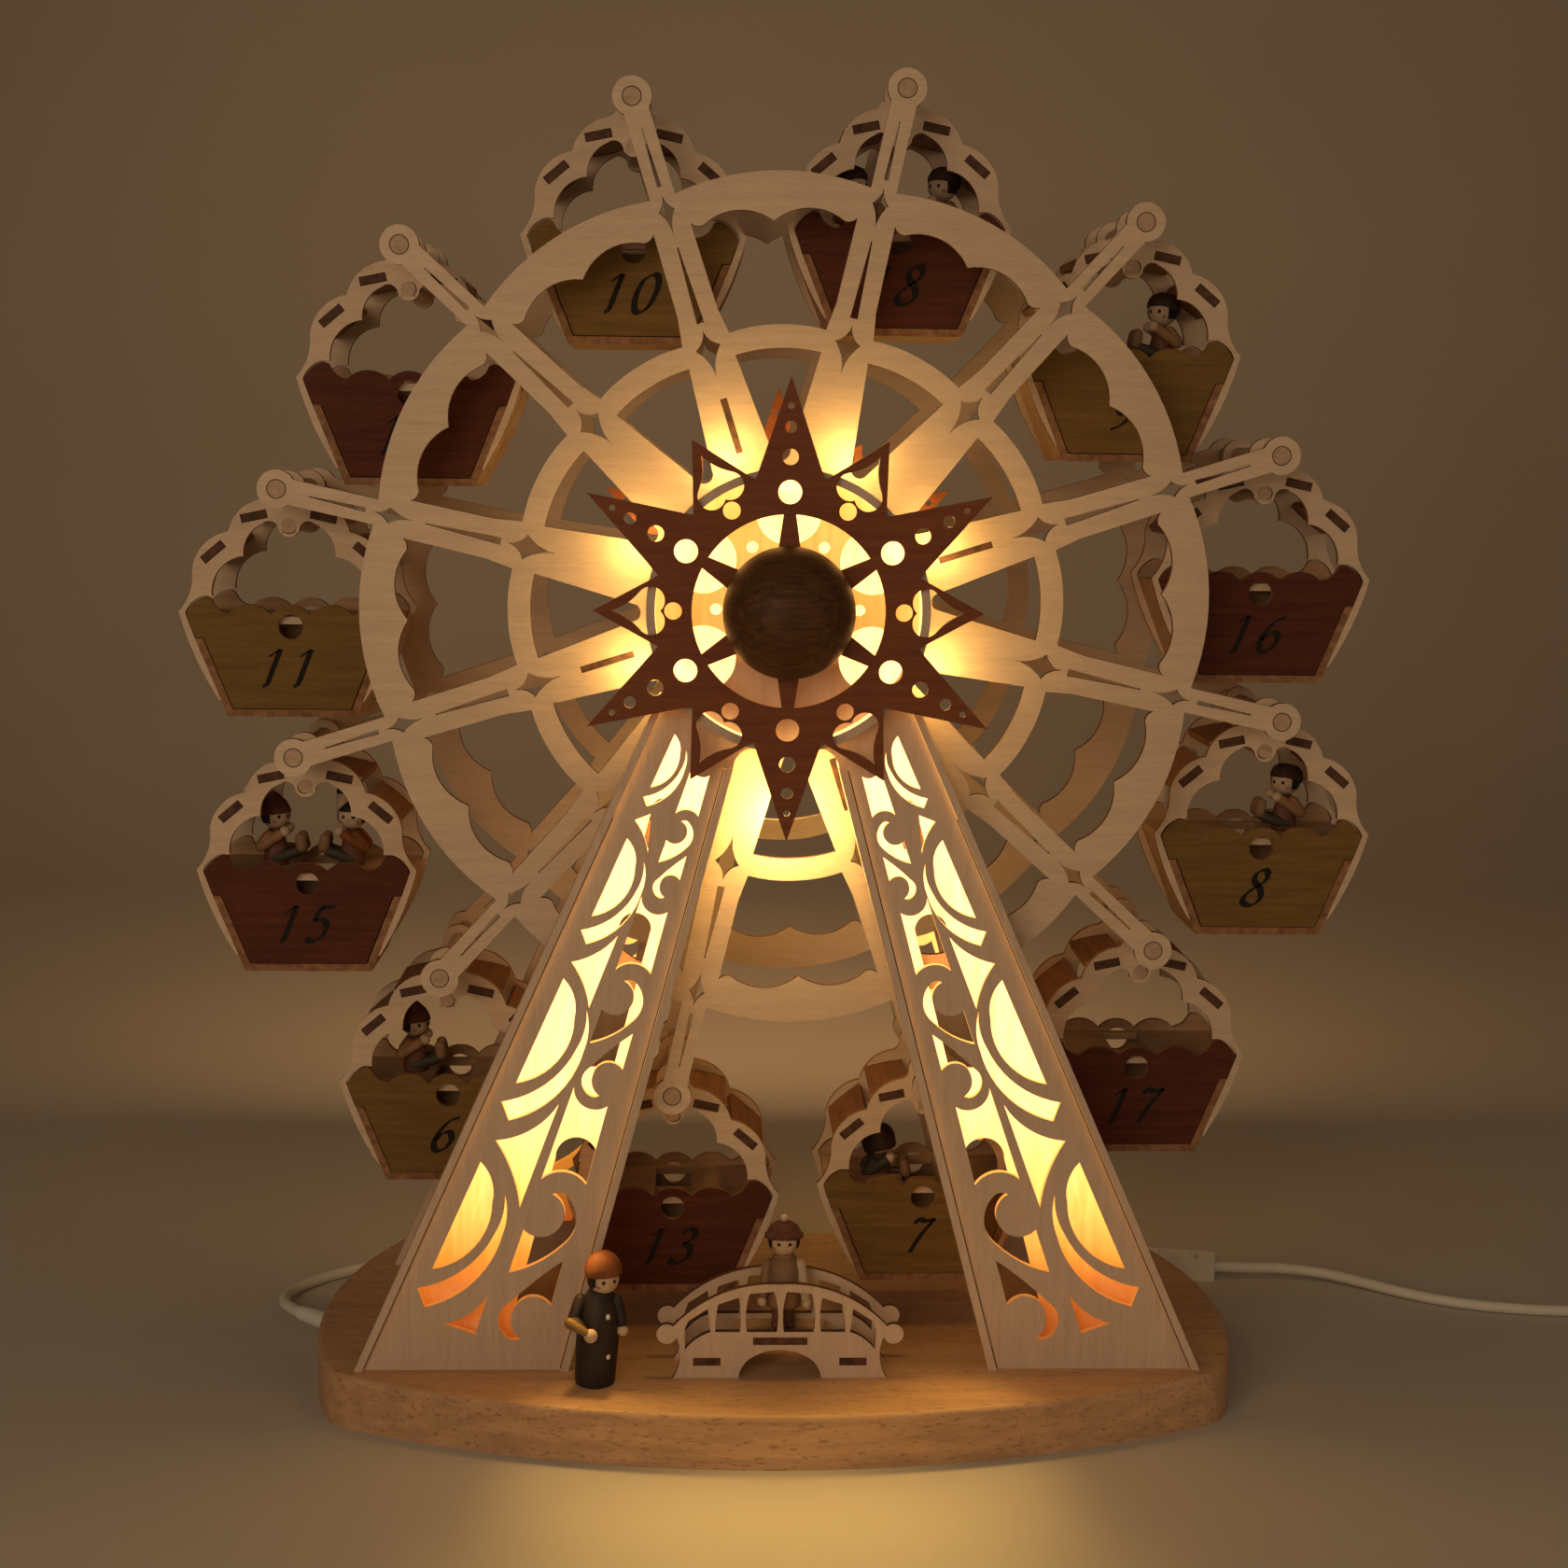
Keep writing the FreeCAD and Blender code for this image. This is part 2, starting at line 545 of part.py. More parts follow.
def drawer():
    """The front board with a wavy top and a finger hole, and the tray behind it."""
    half = run((0.0, -47.2), arc((4.6, -48.2), (8.0, -51.0)), arc((16.0, -47.0), (24.6, -50.6)),
               arc((29.2, -48.8), (31.8, -45.0)), arc((33.2, -44.2), (34.8, -44.1)), arc((38.9, -46.7), (41.9, -51.1)),
               (38.4, -60.6), (35.1, -60.6), (23.7, -89.2), (0.0, -89.2))
    front_loops = [mirrored(half), circle(0, -55.9, 5.0)]
    front = plate("drawer_front", front_loops, "-Sizes.gondola_face + Sizes.ply - Sizes.drawer_proud")
    depth = "Sizes.gondola_face - Sizes.ply + Sizes.drawer_proud - Sizes.tray_back"
    trough = mirrored(run((36.0, -57.0), (23.6, -89.2), (0.0, -89.2))) + mirrored(
        run((36.0, -57.0), (33.9, -57.0), (22.2, -87.2), (0.0, -87.2)))
    tray = plate("drawer_tray", [trough], "-Sizes.tray_back", depth)
    back = mirrored(run((0.0, -57.0), (33.9, -57.0), (22.2, -87.2), (0.0, -87.2)))
    wall = plate("drawer_back", [back], "-Sizes.tray_back", "2")
    return joined("drawer", [front, tray, wall])


def gondolas():
    shell = gondola_shell()
    box = drawer()
    turned_box = group("drawer_rear", [box], turn=(Vector(0, 0, 1), 180))
    for k in GONDOLAS:
        angle = "Sizes.wheel_phase + %d" % (STEP * k)
        place = {"x": "Sizes.wheel_radius * sin(%s)" % angle,
                 "z": "Sizes.hub_height + Sizes.wheel_radius * cos(%s)" % angle}
        riders = []
        for x, tall, wide, head in RIDERS.get(k, ()):
            doll = peg_doll("rider", tall, wide, head)
            riders.append(group("rider_place", [doll], x=str(x), z="-Sizes.deck_level"))
        number = "%02d" % (k + 1)
        node(group("gondola", shell, **place), "gondola_" + number)
        if riders:
            node(group("riders", riders, **place), "riders_" + number)
        node(group("front_drawer", [box], **place), "front_drawer_" + number)
        node(group("rear_drawer", [turned_box], **place), "rear_drawer_" + number)


# Footbridge between the front legs, and the two figures that stand outside the wheel

def footbridge():
    rail = mirrored(run((0.0, 39.4), arc((24.5, 35.2), (43.2, 21.8)), arc((48.7, 15.7), (41.9, 17.3)),
                        arc((40.3, 10.4), (43.3, 0.0)), (16.7, 0.0), arc((15.1, 5.0), (10.7, 9.1)),
                        arc((5.7, 11.2), (0.0, 11.9))))
    panes = [closed((1.4, 19.5), (13.4, 19.5), arc((13.9, 28.0), (12.5, 35.5)), (2.6, 36.4), arc((1.0, 28.0), (1.4, 19.5))),
             closed((16.4, 19.5), (26.2, 19.5), arc((25.9, 26.0), (25.1, 31.1)), (16.8, 33.9), arc((16.0, 27.0), (16.4, 19.5))),
             closed((28.2, 19.5), arc((34.0, 16.5), (38.4, 12.1)), (38.6, 20.6), (37.2, 24.1), (29.3, 29.3))]
    middle_slot = box_outline(-11.0, 14.0, 11.0, 17.2)
    loops = [rail, middle_slot] + both_legs(panes + [box_outline(24.0, 5.3, 35.1, 8.6)])
    placed = [moved(loop, 0.0, BASE_TOP) for loop in loops]
    front = "-Sizes.bridge_front + Sizes.ply"
    pieces = [plate("bridge_rail", placed, front), plate("bridge_rail", placed, "-Sizes.bridge_rear")]
    # a raised board in the middle and a step on each side, with tongues in the rails' slots
    face, near = -size("bridge_front"), -size("bridge_front") + PLY
    back, far = -size("bridge_rear"), -size("bridge_rear") - PLY
    for x0, x1, tongue0, tongue1, level in ((-18.5, 18.5, -10.9, 10.9, 14.1), (20.5, 38.5, 24.1, 35.0, 5.4),
                                            (-38.5, -20.5, -35.0, -24.1, 5.4)):
        plan = closed((x0, near), (tongue0, near), (tongue0, face), (tongue1, face), (tongue1, near), (x1, near),
                      (x1, far), (tongue1, far), (tongue1, back), (tongue0, back), (tongue0, far), (x0, far))
        pieces.append(flat("bridge_board", [plan], "Sizes.base_thick + %s" % level, "Sizes.ply"))
    node(group("bridge_set", pieces), "footbridge")


def figures():
    man = peg_doll("man", 57.5, 9.2, 7.0)
    child = peg_doll("child", 45.5, 7.6, 6.6)
    places = [group("man_place", [man], x="-73.2", y="-80", z="Sizes.base_thick"),
              group("child_place", [child], x="1.5", y="-65.3", z="Sizes.base_thick + 17.1")]
    node(group("figure_set", places), "base_figures")


def lamps():
    """A round lamp board in each drum and a lamp strip in each leg, on the inner panels."""
    board = [circle(0, HUB, 46), circle(0, HUB, 12)]
    thick = "1.6"
    items = [plate("lamp_board", board, "-Sizes.pillar_back - Sizes.ply", thick),
             plate("lamp_board", board, "Sizes.pillar_back + Sizes.ply + 1.6", thick)]
    strip = closed((118.0, BASE_TOP + 60), (125.0, BASE_TOP + 60), (73.0, BASE_TOP + 212), (66.0, BASE_TOP + 212))
    for edges in (strip, flipped(strip)):
        items.append(plate("lamp_strip", [edges], "-Sizes.pillar_back - Sizes.ply", thick))
        items.append(plate("lamp_strip", [edges], "Sizes.pillar_back + Sizes.ply + 1.6", thick))
    node(group("lamp_set", items), "lamps")


# Mains lead: straight runs joined by arcs, a rocker switch on it, a coil and a plug

LEAD_INNER = ((-211.5, 31.0, 8.0), (-217.0, 37.5, 7.5), (-223.5, 51.0, 5.5), (-224.0, 68.0, 4.0),
              (-213.0, 88.0, 3.0), (-190.0, 106.0, 3.0), (-155.0, 116.0, 3.0), (-108.0, 113.0, 3.0),
              (-58.0, 117.0, 3.0), (0.0, 113.5, 3.0), (56.0, 117.0, 3.0), (103.0, 113.0, 3.0),
              (138.0, 113.8, 4.2), (164.0, 108.9, 5.0), (181.3, 104.7, 5.0))
SWITCH_ENDS = ((181.3, 104.7, 5.0), (216.5, 97.2, 5.0))
LEAD_OUTER = ((216.5, 97.2, 5.0), (230.0, 95.6, 5.0), (248.0, 96.4, 4.8), (268.0, 91.0, 4.2),
              (286.0, 78.5, 3.4), (303.0, 65.5, 2.8), (322.0, 54.5, 2.7), (348.0, 46.6, 2.8),
              (378.0, 44.2, 2.7), (408.0, 43.0, 2.7), (417.0, 43.0, 2.7))


def lead_path(points, name):
    """Straight runs with an arc at each point, as large as the two runs beside it allow."""
    points = [Vector(*p) for p in points]
    edges = []
    radii = []
    here = points[0]
    for before, at, after in zip(points, points[1:], points[2:]):
        into, out = (at - before), (after - at)
        shorter = min(into.Length, out.Length)
        turn = into.getAngle(out)
        back = 0.45 * shorter
        radii.append(back / math.tan(turn / 2))
        into.normalize()
        out.normalize()
        start, end = at - into * back, at + out * back
        middle = at + (out - into).normalize() * (radii[-1] / math.cos(turn / 2) - radii[-1])
        edges.append(Part.LineSegment(here, start).toShape())
        edges.append(Part.Arc(start, middle, end).toShape())
        here = end
    edges.append(Part.LineSegment(here, points[-1]).toShape())
    print(name, "bend radii", [round(r, 1) for r in radii])
    return edges


def tube(edges, name, steady=False):
    wire = Part.Wire(edges)
    radius = size("lead_diameter") / 2
    first = edges[0]
    along = first.tangentAt(first.FirstParameter)
    ring = Part.Wire([Part.makeCircle(radius, first.valueAt(first.FirstParameter), along)])
    solid = wire.makePipeShell([ring], True, steady)
    if solid.Volume < 0:
        solid.reverse()
    print(name, "length", round(wire.Length, 1), "volume", round(solid.Volume), "section times length",
          round(math.pi * radius * radius * wire.Length))
    return solid


def biarc(p0, t0, p1, t1):
    """Two arcs from p0 to p1 that leave along t0 and arrive along t1."""
    v, t = p1 - p0, t0 + t1
    a, b, c = 2 * (1 - t0.dot(t1)), 2 * v.dot(t), -v.dot(v)
    d = (-b + math.sqrt(b * b - 4 * a * c)) / (2 * a)
    joint = (p0 + t0 * d + p1 - t1 * d) * 0.5
    arcs = []
    for start, along, end in ((p0, t0, joint), (p1, t1 * -1, joint)):
        chord = end - start
        arrive = chord * (2 * chord.dot(along) / chord.dot(chord)) - along
        angle = math.acos(max(-1.0, min(1.0, along.dot(arrive))))
        outward = (along - arrive).normalize()
        middle = (start + end) * 0.5 + outward * (chord.Length / 2 * math.tan(angle / 4))
        points = (start, middle, end) if start is p0 else (end, middle, start)
        arcs.append(Part.Arc(*points).toShape())
    return arcs


def coil_point(turns):
    """The coil spirals in on the table, climbs in half a turn and spirals out on top of itself."""
    radius, pitch, d = size("coil_radius"), size("coil_pitch"), size("lead_diameter")
    low, high = d / 2 + 0.2, d / 2 + 0.2 + pitch
    inward, climb = 2.5, 0.5
    if turns <= inward:
        r, z = radius - pitch * turns, low
    elif turns <= inward + climb:
        s = (turns - inward) / climb
        r = radius - pitch * inward - pitch * climb * s * (1 - s)
        z = low + (high - low) * (1 - math.cos(math.pi * s)) / 2
    else:
        r, z = radius - pitch * inward + pitch * (turns - inward - climb), high
    last = max(0.0, turns - COIL_TURNS + 0.25) / 0.25
    z -= (high - PLUG_LEVEL) * (3 * last * last - 2 * last ** 3)
    angle = math.pi / 2 - 2 * math.pi * turns
    return Vector(COIL_CENTRE[0] + r * math.cos(angle), COIL_CENTRE[1] + r * math.sin(angle), z)


COIL_TURNS = 6.25
COIL_CENTRE = (422.0, 43.0 - 34.0)
PLUG_LEVEL = 7.0


def coil_path():
    step = 0.25
    small = 1e-4
    d = size("lead_diameter")
    marks = [step * n for n in range(int(COIL_TURNS / step) + 1)]
    points = [coil_point(m) for m in marks]
    slopes = []
    for m in marks:
        low, high = max(0.0, m - small), min(COIL_TURNS, m + small)
        slopes.append((coil_point(high) - coil_point(low)).normalize())
    start = Vector(COIL_CENTRE[0] - d, 43.0, 2.7)
    slopes[0] = (points[0] - start).normalize()
    edges = [Part.LineSegment(start, points[0]).toShape()]
    for n in range(len(marks) - 1):
        edges += biarc(points[n], slopes[n], points[n + 1], slopes[n + 1])
    end = points[-1] + slopes[-1] * d
    edges.append(Part.LineSegment(points[-1], end).toShape())
    return edges, end, slopes[-1]


def self_gap(edges):
    """The least distance between parts of the coil that are more than half a turn apart."""
    points = []
    for edge in edges:
        points += edge.discretize(Number=9)[:-1]
    half_turn = 24
    least = min(points[i].distanceToPoint(points[j])
                for i in range(len(points)) for j in range(i + half_turn, len(points)))
    return least - size("lead_diameter")


def feature(name, shape, label, placement=None):
    item = doc.addObject("Part::Feature", name)
    item.Shape = shape
    if placement:
        item.Placement = placement
    return node(item, label)


def gland():
    """A tapered strain relief, pressed into the side of the base board."""
    exit_point, tip = Vector(-195.5, 18.2, 8.0), Vector(*LEAD_INNER[0])
    along = (tip - exit_point).normalize()
    root = exit_point - along * 5
    solid = Part.makeCone(4.6, 3.2, (tip - root).Length, root, along)
    return feature("gland", solid, "lead_gland")


def switch():
    """A small rocker switch in line with the lead."""
    a, b = Vector(*SWITCH_ENDS[0]), Vector(*SWITCH_ENDS[1])
    length, wide, tall = (b - a).Length, 14.0, 10.0
    level = 7.5
    box = doc.addObject("Part::Box", "switch_box")
    box.Length, box.Width, box.Height = length, wide, tall
    box.Placement.Base = Vector(-length / 2, -wide / 2, 0)
    eased = doc.addObject("Part::Fillet", "switch_eased")
    eased.Base = box
    doc.recompute()
    eased.Edges = [(n, 2.5, 2.5) for n, edge in enumerate(box.Shape.Edges, start=1) if edge.BoundBox.ZLength > 1]
    well = doc.addObject("Part::Box", "switch_well")
    well.Length, well.Width, well.Height = 19.0, 10.0, 7.0
    well.Placement.Base = Vector(-9.5, -5.0, tall - 6.0)
    # the rocker turns on a round pin in the box's side walls
    bore = rod("pin_bore", "1.05", "12.6", y="-6.3", z=str(level))
    shell = cut("switch_shell", eased, joined("switch_hollow", [well, bore]))
    turn = math.degrees(math.atan2((b - a).y, (b - a).x))
    middle = (a + b) * 0.5
    upright = Vector(0, 0, 1)
    node(group("switch", [shell], x=str(middle.x), y=str(middle.y), z="0", turn=(upright, turn)), "cord_switch")
    rocker_loop = closed((-9.0, level + 1.1), (-9.0, level - 0.1), arc((0.0, level - 2.5), (9.0, level - 0.1)),
                         (9.0, level + 1.1), arc((0.0, level + 2.9), (-9.0, level + 1.1)))
    rocker = joined("rocker_on_pin", [plate("rocker", [rocker_loop], "4.6", "9.2"),
                                      rod("rocker_pin", "1", "12", y="-6", z=str(level))])
    node(group("switch_top", [rocker], x=str(middle.x), y=str(middle.y), z="0", turn=(upright, turn)), "switch_rocker")


def plug(end, along):
    """A flat two-pin plug that lies beside the coil."""
    body = [closed((-3.6, 0.0), (3.6, 0.0), (5.5, 14.0), (12.5, 20.0), (12.5, 36.0), (-12.5, 36.0), (-12.5, 20.0), (-5.5, 14.0))]
    shell = flat("plug_body", body, "-5", "10")
    pins = []
    for side in (9.5, -9.5):
        pin = doc.addObject("Part::Cylinder", "plug_pin")
        pin.Radius, pin.Height = 2.0, 19.0
        pin.Placement = FreeCAD.Placement(Vector(side, 36.0, 0), FreeCAD.Rotation(Vector(1, 0, 0), -90))
        pins.append(pin)
    turn = math.degrees(math.atan2(along.y, along.x)) - 90
    node(group("plug_set", [shell] + pins, x=str(end.x), y=str(end.y), z=str(end.z), turn=(Vector(0, 0, 1), turn)), "plug")


def lead():
    gland()
    feature("lead_near", tube(lead_path(LEAD_INNER, "inner lead"), "inner lead"), "inner_lead")
    switch()
    feature("lead_far", tube(lead_path(LEAD_OUTER, "outer lead"), "outer lead"), "outer_lead")
    edges, end, along = coil_path()
    print("coil self gap", round(self_gap(edges), 2))
    feature("lead_wound", tube(edges, "coil"), "lead_coil")
    plug(end, Vector(along.x, along.y, 0))


base_board()
a_frames()
hub()
wheel()
gondolas()
footbridge()
figures()
lamps()
lead()
doc.recompute()

faults = [item.Name for item in doc.Objects if "Invalid" in item.State or "Error" in item.State]
for item in NODES:
    if item.Shape.isNull() or not item.Shape.isValid():
        faults.append(item.Label)
if faults:
    raise SystemExit("these objects failed: " + ", ".join(faults))
os.makedirs("parts", exist_ok=True)
for item in NODES:
    item.Shape.exportStep("parts/%s.step" % item.Label)
print(len(NODES), "sub-parts written")
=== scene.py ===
import math
import random

import bmesh
import bpy
from mathutils import Matrix, Vector

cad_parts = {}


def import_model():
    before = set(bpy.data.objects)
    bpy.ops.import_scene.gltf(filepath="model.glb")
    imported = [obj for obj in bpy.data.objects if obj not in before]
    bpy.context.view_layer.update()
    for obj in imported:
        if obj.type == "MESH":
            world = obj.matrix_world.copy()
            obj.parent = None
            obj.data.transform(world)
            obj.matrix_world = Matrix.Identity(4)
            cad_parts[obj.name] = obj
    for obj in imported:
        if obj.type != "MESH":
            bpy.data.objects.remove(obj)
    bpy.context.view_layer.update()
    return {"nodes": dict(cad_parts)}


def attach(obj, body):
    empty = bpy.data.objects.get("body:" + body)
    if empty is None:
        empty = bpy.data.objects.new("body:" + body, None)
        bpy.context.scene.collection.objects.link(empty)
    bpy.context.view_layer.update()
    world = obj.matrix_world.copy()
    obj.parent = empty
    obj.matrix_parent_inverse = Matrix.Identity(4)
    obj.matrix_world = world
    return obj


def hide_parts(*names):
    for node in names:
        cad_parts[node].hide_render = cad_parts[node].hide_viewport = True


# A lit wooden calendar ferris wheel. Metres; X right, Y back, Z up; origin under the base board.
# Numbers that are multiplied by MM are millimetres.

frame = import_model()
NODES = frame["nodes"]
MM = 0.001
HUB = 0.332  # height of the axle
REACH = 0.205  # from the axle to a gondola's pivot
PHASE = 12.5  # degrees from the top to the first gondola
BASE_TOP = 0.022
PANEL_OUTSIDE = 68  # mm from the middle plane to the carved panels' outer face
LUG_OUTSIDE = 51  # and to the outer face of the wheel's lugs
PLATE_OUTSIDE = 25  # and to the outer face of a gondola's plates
DRAWER_OUTSIDE = 25.5  # and to a drawer's face
FLAT = 0.9  # a face belongs to a plate's flat side when its normal is steeper than this
random.seed(5)


def pivot(k):
    a = math.radians(PHASE + 30 * k)
    return Vector((REACH * math.sin(a), 0, HUB + REACH * math.cos(a)))


PIVOTS = [pivot(k) for k in range(12)]


# Camera at the photograph's place

def aim_camera():
    yaw, pitch, roll = math.radians(1.988), math.radians(8.191), math.radians(0.661)
    stand_at, focal_length = (-0.03164, -0.95821, 0.39184), 52.497
    level = math.cos(pitch)
    ahead = Vector((math.sin(yaw) * level, math.cos(yaw) * level, -math.sin(pitch)))
    right = Vector((math.cos(yaw), -math.sin(yaw), 0))
    up = right.cross(ahead)
    side = right * math.cos(roll) + up * math.sin(roll)
    top = up * math.cos(roll) - right * math.sin(roll)
    camera = bpy.data.objects.new("camera", bpy.data.cameras.new("camera"))
    bpy.context.collection.objects.link(camera)
    turn = Matrix((side, top, -ahead)).transposed().to_4x4()
    camera.matrix_world = Matrix.Translation(stand_at) @ turn
    camera.data.sensor_width = 36
    camera.data.lens = focal_length
    camera.data.clip_start = 0.02
    bpy.context.scene.camera = camera


aim_camera()


# Node trees for the materials

class Paint:
    def __init__(self, name, roughness=0.5, colour=(0.5, 0.5, 0.5)):
        self.material = bpy.data.materials.new(name)
        self.material.use_nodes = True
        self.tree = self.material.node_tree
        self.shader = self.tree.nodes["Principled BSDF"]
        self.shader.inputs["Roughness"].default_value = roughness
        self.shader.inputs["Base Color"].default_value = (*colour, 1)

    def add(self, kind, **sockets):
        node = self.tree.nodes.new("ShaderNode" + kind)
        for word, value in sockets.items():
            self.put(node, word, value)
        return node

    def put(self, node, word, value):
        if hasattr(value, "outputs"):
            value = value.outputs[0]
        if word in node.inputs:
            if hasattr(value, "node"):
                self.tree.links.new(value, node.inputs[word])
            else:
                node.inputs[word].default_value = value
        else:
            setattr(node, word, value)

    def place(self, scale=(1, 1, 1)):
        coordinate = self.add("TexCoord")
        mapping = self.add("Mapping")
        self.tree.links.new(coordinate.outputs["Object"], mapping.inputs["Vector"])
        mapping.inputs["Scale"].default_value = scale
        return mapping

    def noise(self, vector, scale, detail=4, rough=0.6):
        node = self.add("TexNoise", Vector=vector, Scale=scale, Detail=detail, Roughness=rough)
        return node.outputs["Fac"]

    def ramp(self, factor, *stops):
        node = self.add("ValToRGB", Fac=factor)
        marks = node.color_ramp.elements
        for n, (at, colour) in enumerate(stops):
            mark = marks[n] if n < 2 else marks.new(at)
            mark.position = at
            mark.color = (*colour, 1)
        return node.outputs["Color"]

    def mix(self, factor, a, b, blend="MIX"):
        node = self.add("Mix")
        node.data_type = "RGBA"
        node.blend_type = blend
        for index, value in ((0, factor), (6, a), (7, b)):
            if hasattr(value, "node"):
                self.tree.links.new(value, node.inputs[index])
            elif index == 0:
                node.inputs[0].default_value = value
            else:
                node.inputs[index].default_value = (*value, 1)
        return node.outputs[2]

    def colour(self, socket):
        self.tree.links.new(socket, self.shader.inputs["Base Color"])

    def rough(self, socket):
        self.tree.links.new(socket, self.shader.inputs["Roughness"])

    def bump(self, height, distance=0.0001, strength=0.5):
        node = self.add("Bump", Height=height, Distance=distance, Strength=strength)
        self.tree.links.new(node.outputs[0], self.shader.inputs["Normal"])


ALONG = {"X": (1, 14, 14), "Y": (14, 1, 14), "Z": (14, 14, 1)}
WHITE = (1, 1, 1)


def shade(colour, amount):
    return tuple(c * amount for c in colour)


def wood(name, colour, grain="X", roughness=0.55, contrast=0.35, flecks=0.0, figure=22.0, sheen=0.5):
    """Wood with soft figure, fine pores and, for beech, short dark flecks."""
    paint = Paint(name, roughness)
    place = paint.place(ALONG[grain])
    figure_noise = paint.noise(place, figure, 5, 0.62)
    pores = paint.noise(place, figure * 9, 3, 0.7)
    light, dark = shade(colour, 1 + contrast * 0.35), shade(colour, 1 - contrast)
    tone = paint.ramp(figure_noise, (0.32, dark), (0.66, light))
    fine = paint.ramp(pores, (0.30, (0.72, 0.68, 0.64)), (0.52, WHITE))
    tone = paint.mix(min(1.0, 0.35 + contrast), tone, fine, "MULTIPLY")
    broad = paint.noise(paint.place((3, 3, 3)), 3.0, 2)
    patches = paint.ramp(broad, (0.3, (0.86, 0.84, 0.82)), (0.7, (1.06, 1.05, 1.04)))
    tone = paint.mix(0.5, tone, patches, "MULTIPLY")
    if flecks:
        stretch = tuple(26 * (0.25 if axis == grain else 1) for axis in "XYZ")
        fleck = paint.noise(paint.place(stretch), 34.0, 1, 0.3)
        marks = paint.ramp(fleck, (0.30, (0.55, 0.42, 0.34)), (0.36, WHITE))
        tone = paint.mix(flecks, tone, marks, "MULTIPLY")
    paint.colour(tone)
    paint.rough(paint.ramp(pores, (0.3, (roughness + 0.15,) * 3), (0.7, (roughness - 0.05,) * 3)))
    paint.bump(pores, 0.00008, 0.35)
    paint.shader.inputs["Specular IOR Level"].default_value = sheen
    return paint.material


def ply_edge(name, colour, dark):
    """The browned edge that a laser leaves, with its layers just showing."""
    paint = Paint(name, 0.75)
    streaks = paint.noise(paint.place((8, 60, 8)), 30.0, 3)
    paint.colour(paint.ramp(streaks, (0.35, dark), (0.7, colour)))
    paint.bump(streaks, 0.00008, 0.4)
    return paint.material


def lit_wood(name, colour, strength, *stops):
    """Wood that glows by emission. On lamp boards it is the lamps' own light; elsewhere it is painted
    glow standing in for the light the lamps cast. Each stop gives a height in metres and the glow's
    colour there.
    """
    paint = Paint(name, 0.6)
    grain = paint.noise(paint.place(ALONG["Z"]), 26.0, 4)
    streaks = paint.ramp(grain, (0.3, (0.78, 0.72, 0.62)), (0.7, WHITE))
    paint.colour(paint.mix(0.6, colour, streaks, "MULTIPLY"))
    split = paint.add("SeparateXYZ")
    coordinate = paint.add("TexCoord")
    paint.tree.links.new(coordinate.outputs["Object"], split.inputs[0])
    low, high = stops[0][0], stops[-1][0]
    height = paint.add("MapRange", Value=split.outputs["Z"])
    height.inputs["From Min"].default_value = low
    height.inputs["From Max"].default_value = high
    glow = paint.ramp(height.outputs[0], *[((z - low) / (high - low), c) for z, c in stops])
    shadows = paint.ramp(grain, (0.25, (0.82, 0.7, 0.5)), (0.65, WHITE))
    glow = paint.mix(0.8, glow, shadows, "MULTIPLY")
    paint.tree.links.new(glow, paint.shader.inputs["Emission Color"])
    paint.shader.inputs["Emission Strength"].default_value = strength
    return paint.material


def plain(name, colour, roughness=0.4, mottled=0.08, gloss=0.0):
    paint = Paint(name, roughness)
    spots = paint.noise(paint.place(), 160.0, 4)
    paint.colour(paint.ramp(spots, (0.3, shade(colour, 1 - mottled)), (0.7, shade(colour, 1 + mottled))))
    paint.bump(spots, 0.00003, 0.3)
    if gloss:
        paint.shader.inputs["Coat Weight"].default_value = gloss
    return paint.material


BEECH = wood("beech_board", (0.60, 0.36, 0.19), "X", 0.5, 0.16, flecks=0.5, figure=10)
BEECH_SIDE = wood("beech_side", (0.62, 0.37, 0.20), "X", 0.55, 0.22, flecks=0.65, figure=16)
FRAME_PLY = wood("frame_ply", (0.70, 0.53, 0.40), "Z", 0.6, 0.10)
WHEEL_PLY = wood("wheel_ply", (0.74, 0.57, 0.42), "X", 0.6, 0.09)
GONDOLA_PLY = wood("gondola_ply", (0.72, 0.55, 0.40), "X", 0.6, 0.10)
INNER_PLY = wood("inner_ply", (0.46, 0.28, 0.15), "X", 0.6, 0.25)
ROOF_WOOD = wood("roof_stain", (0.26, 0.105, 0.04), "Y", 0.5, 0.4, sheen=0.25)
RED_WOOD = wood("red_stain", (0.120, 0.034, 0.020), "X", 0.6, 0.3, figure=30, sheen=0.15)
OLIVE_WOOD = wood("olive_stain", (0.225, 0.132, 0.040), "X", 0.6, 0.25, figure=30, sheen=0.15)
DARK_PLY = wood("star_stain", (0.25, 0.080, 0.034), "X", 0.55, 0.25, figure=26, sheen=0.2)
KNOB_WOOD = wood("knob_wood", (0.115, 0.050, 0.017), "X", 0.5, 0.6, figure=40, sheen=0.25)
DOWEL = wood("dowel_wood", (0.56, 0.39, 0.27), "Y", 0.55, 0.25)
EDGE = ply_edge("burnt_edge", (0.17, 0.07, 0.03), (0.06, 0.022, 0.01))
PALE_EDGE = ply_edge("pale_edge", (0.40, 0.21, 0.10), (0.20, 0.085, 0.035))
TONGUE = ply_edge("tongue_end", (0.15, 0.06, 0.032), (0.05, 0.02, 0.01))
# Painted glow of the lamps' light on the panels, strips and head, brighter with height
LIT = lit_wood("lit_inside", (0.8, 0.6, 0.35), 1.0,
               (0.034, (0.10, 0.018, 0.001)), (0.054, (0.30, 0.07, 0.005)),
               (0.066, (0.75, 0.25, 0.025)), (0.085, (1.15, 0.60, 0.12)),
               (0.13, (1.8, 1.05, 0.44)), (0.27, (2.2, 1.25, 0.60)))
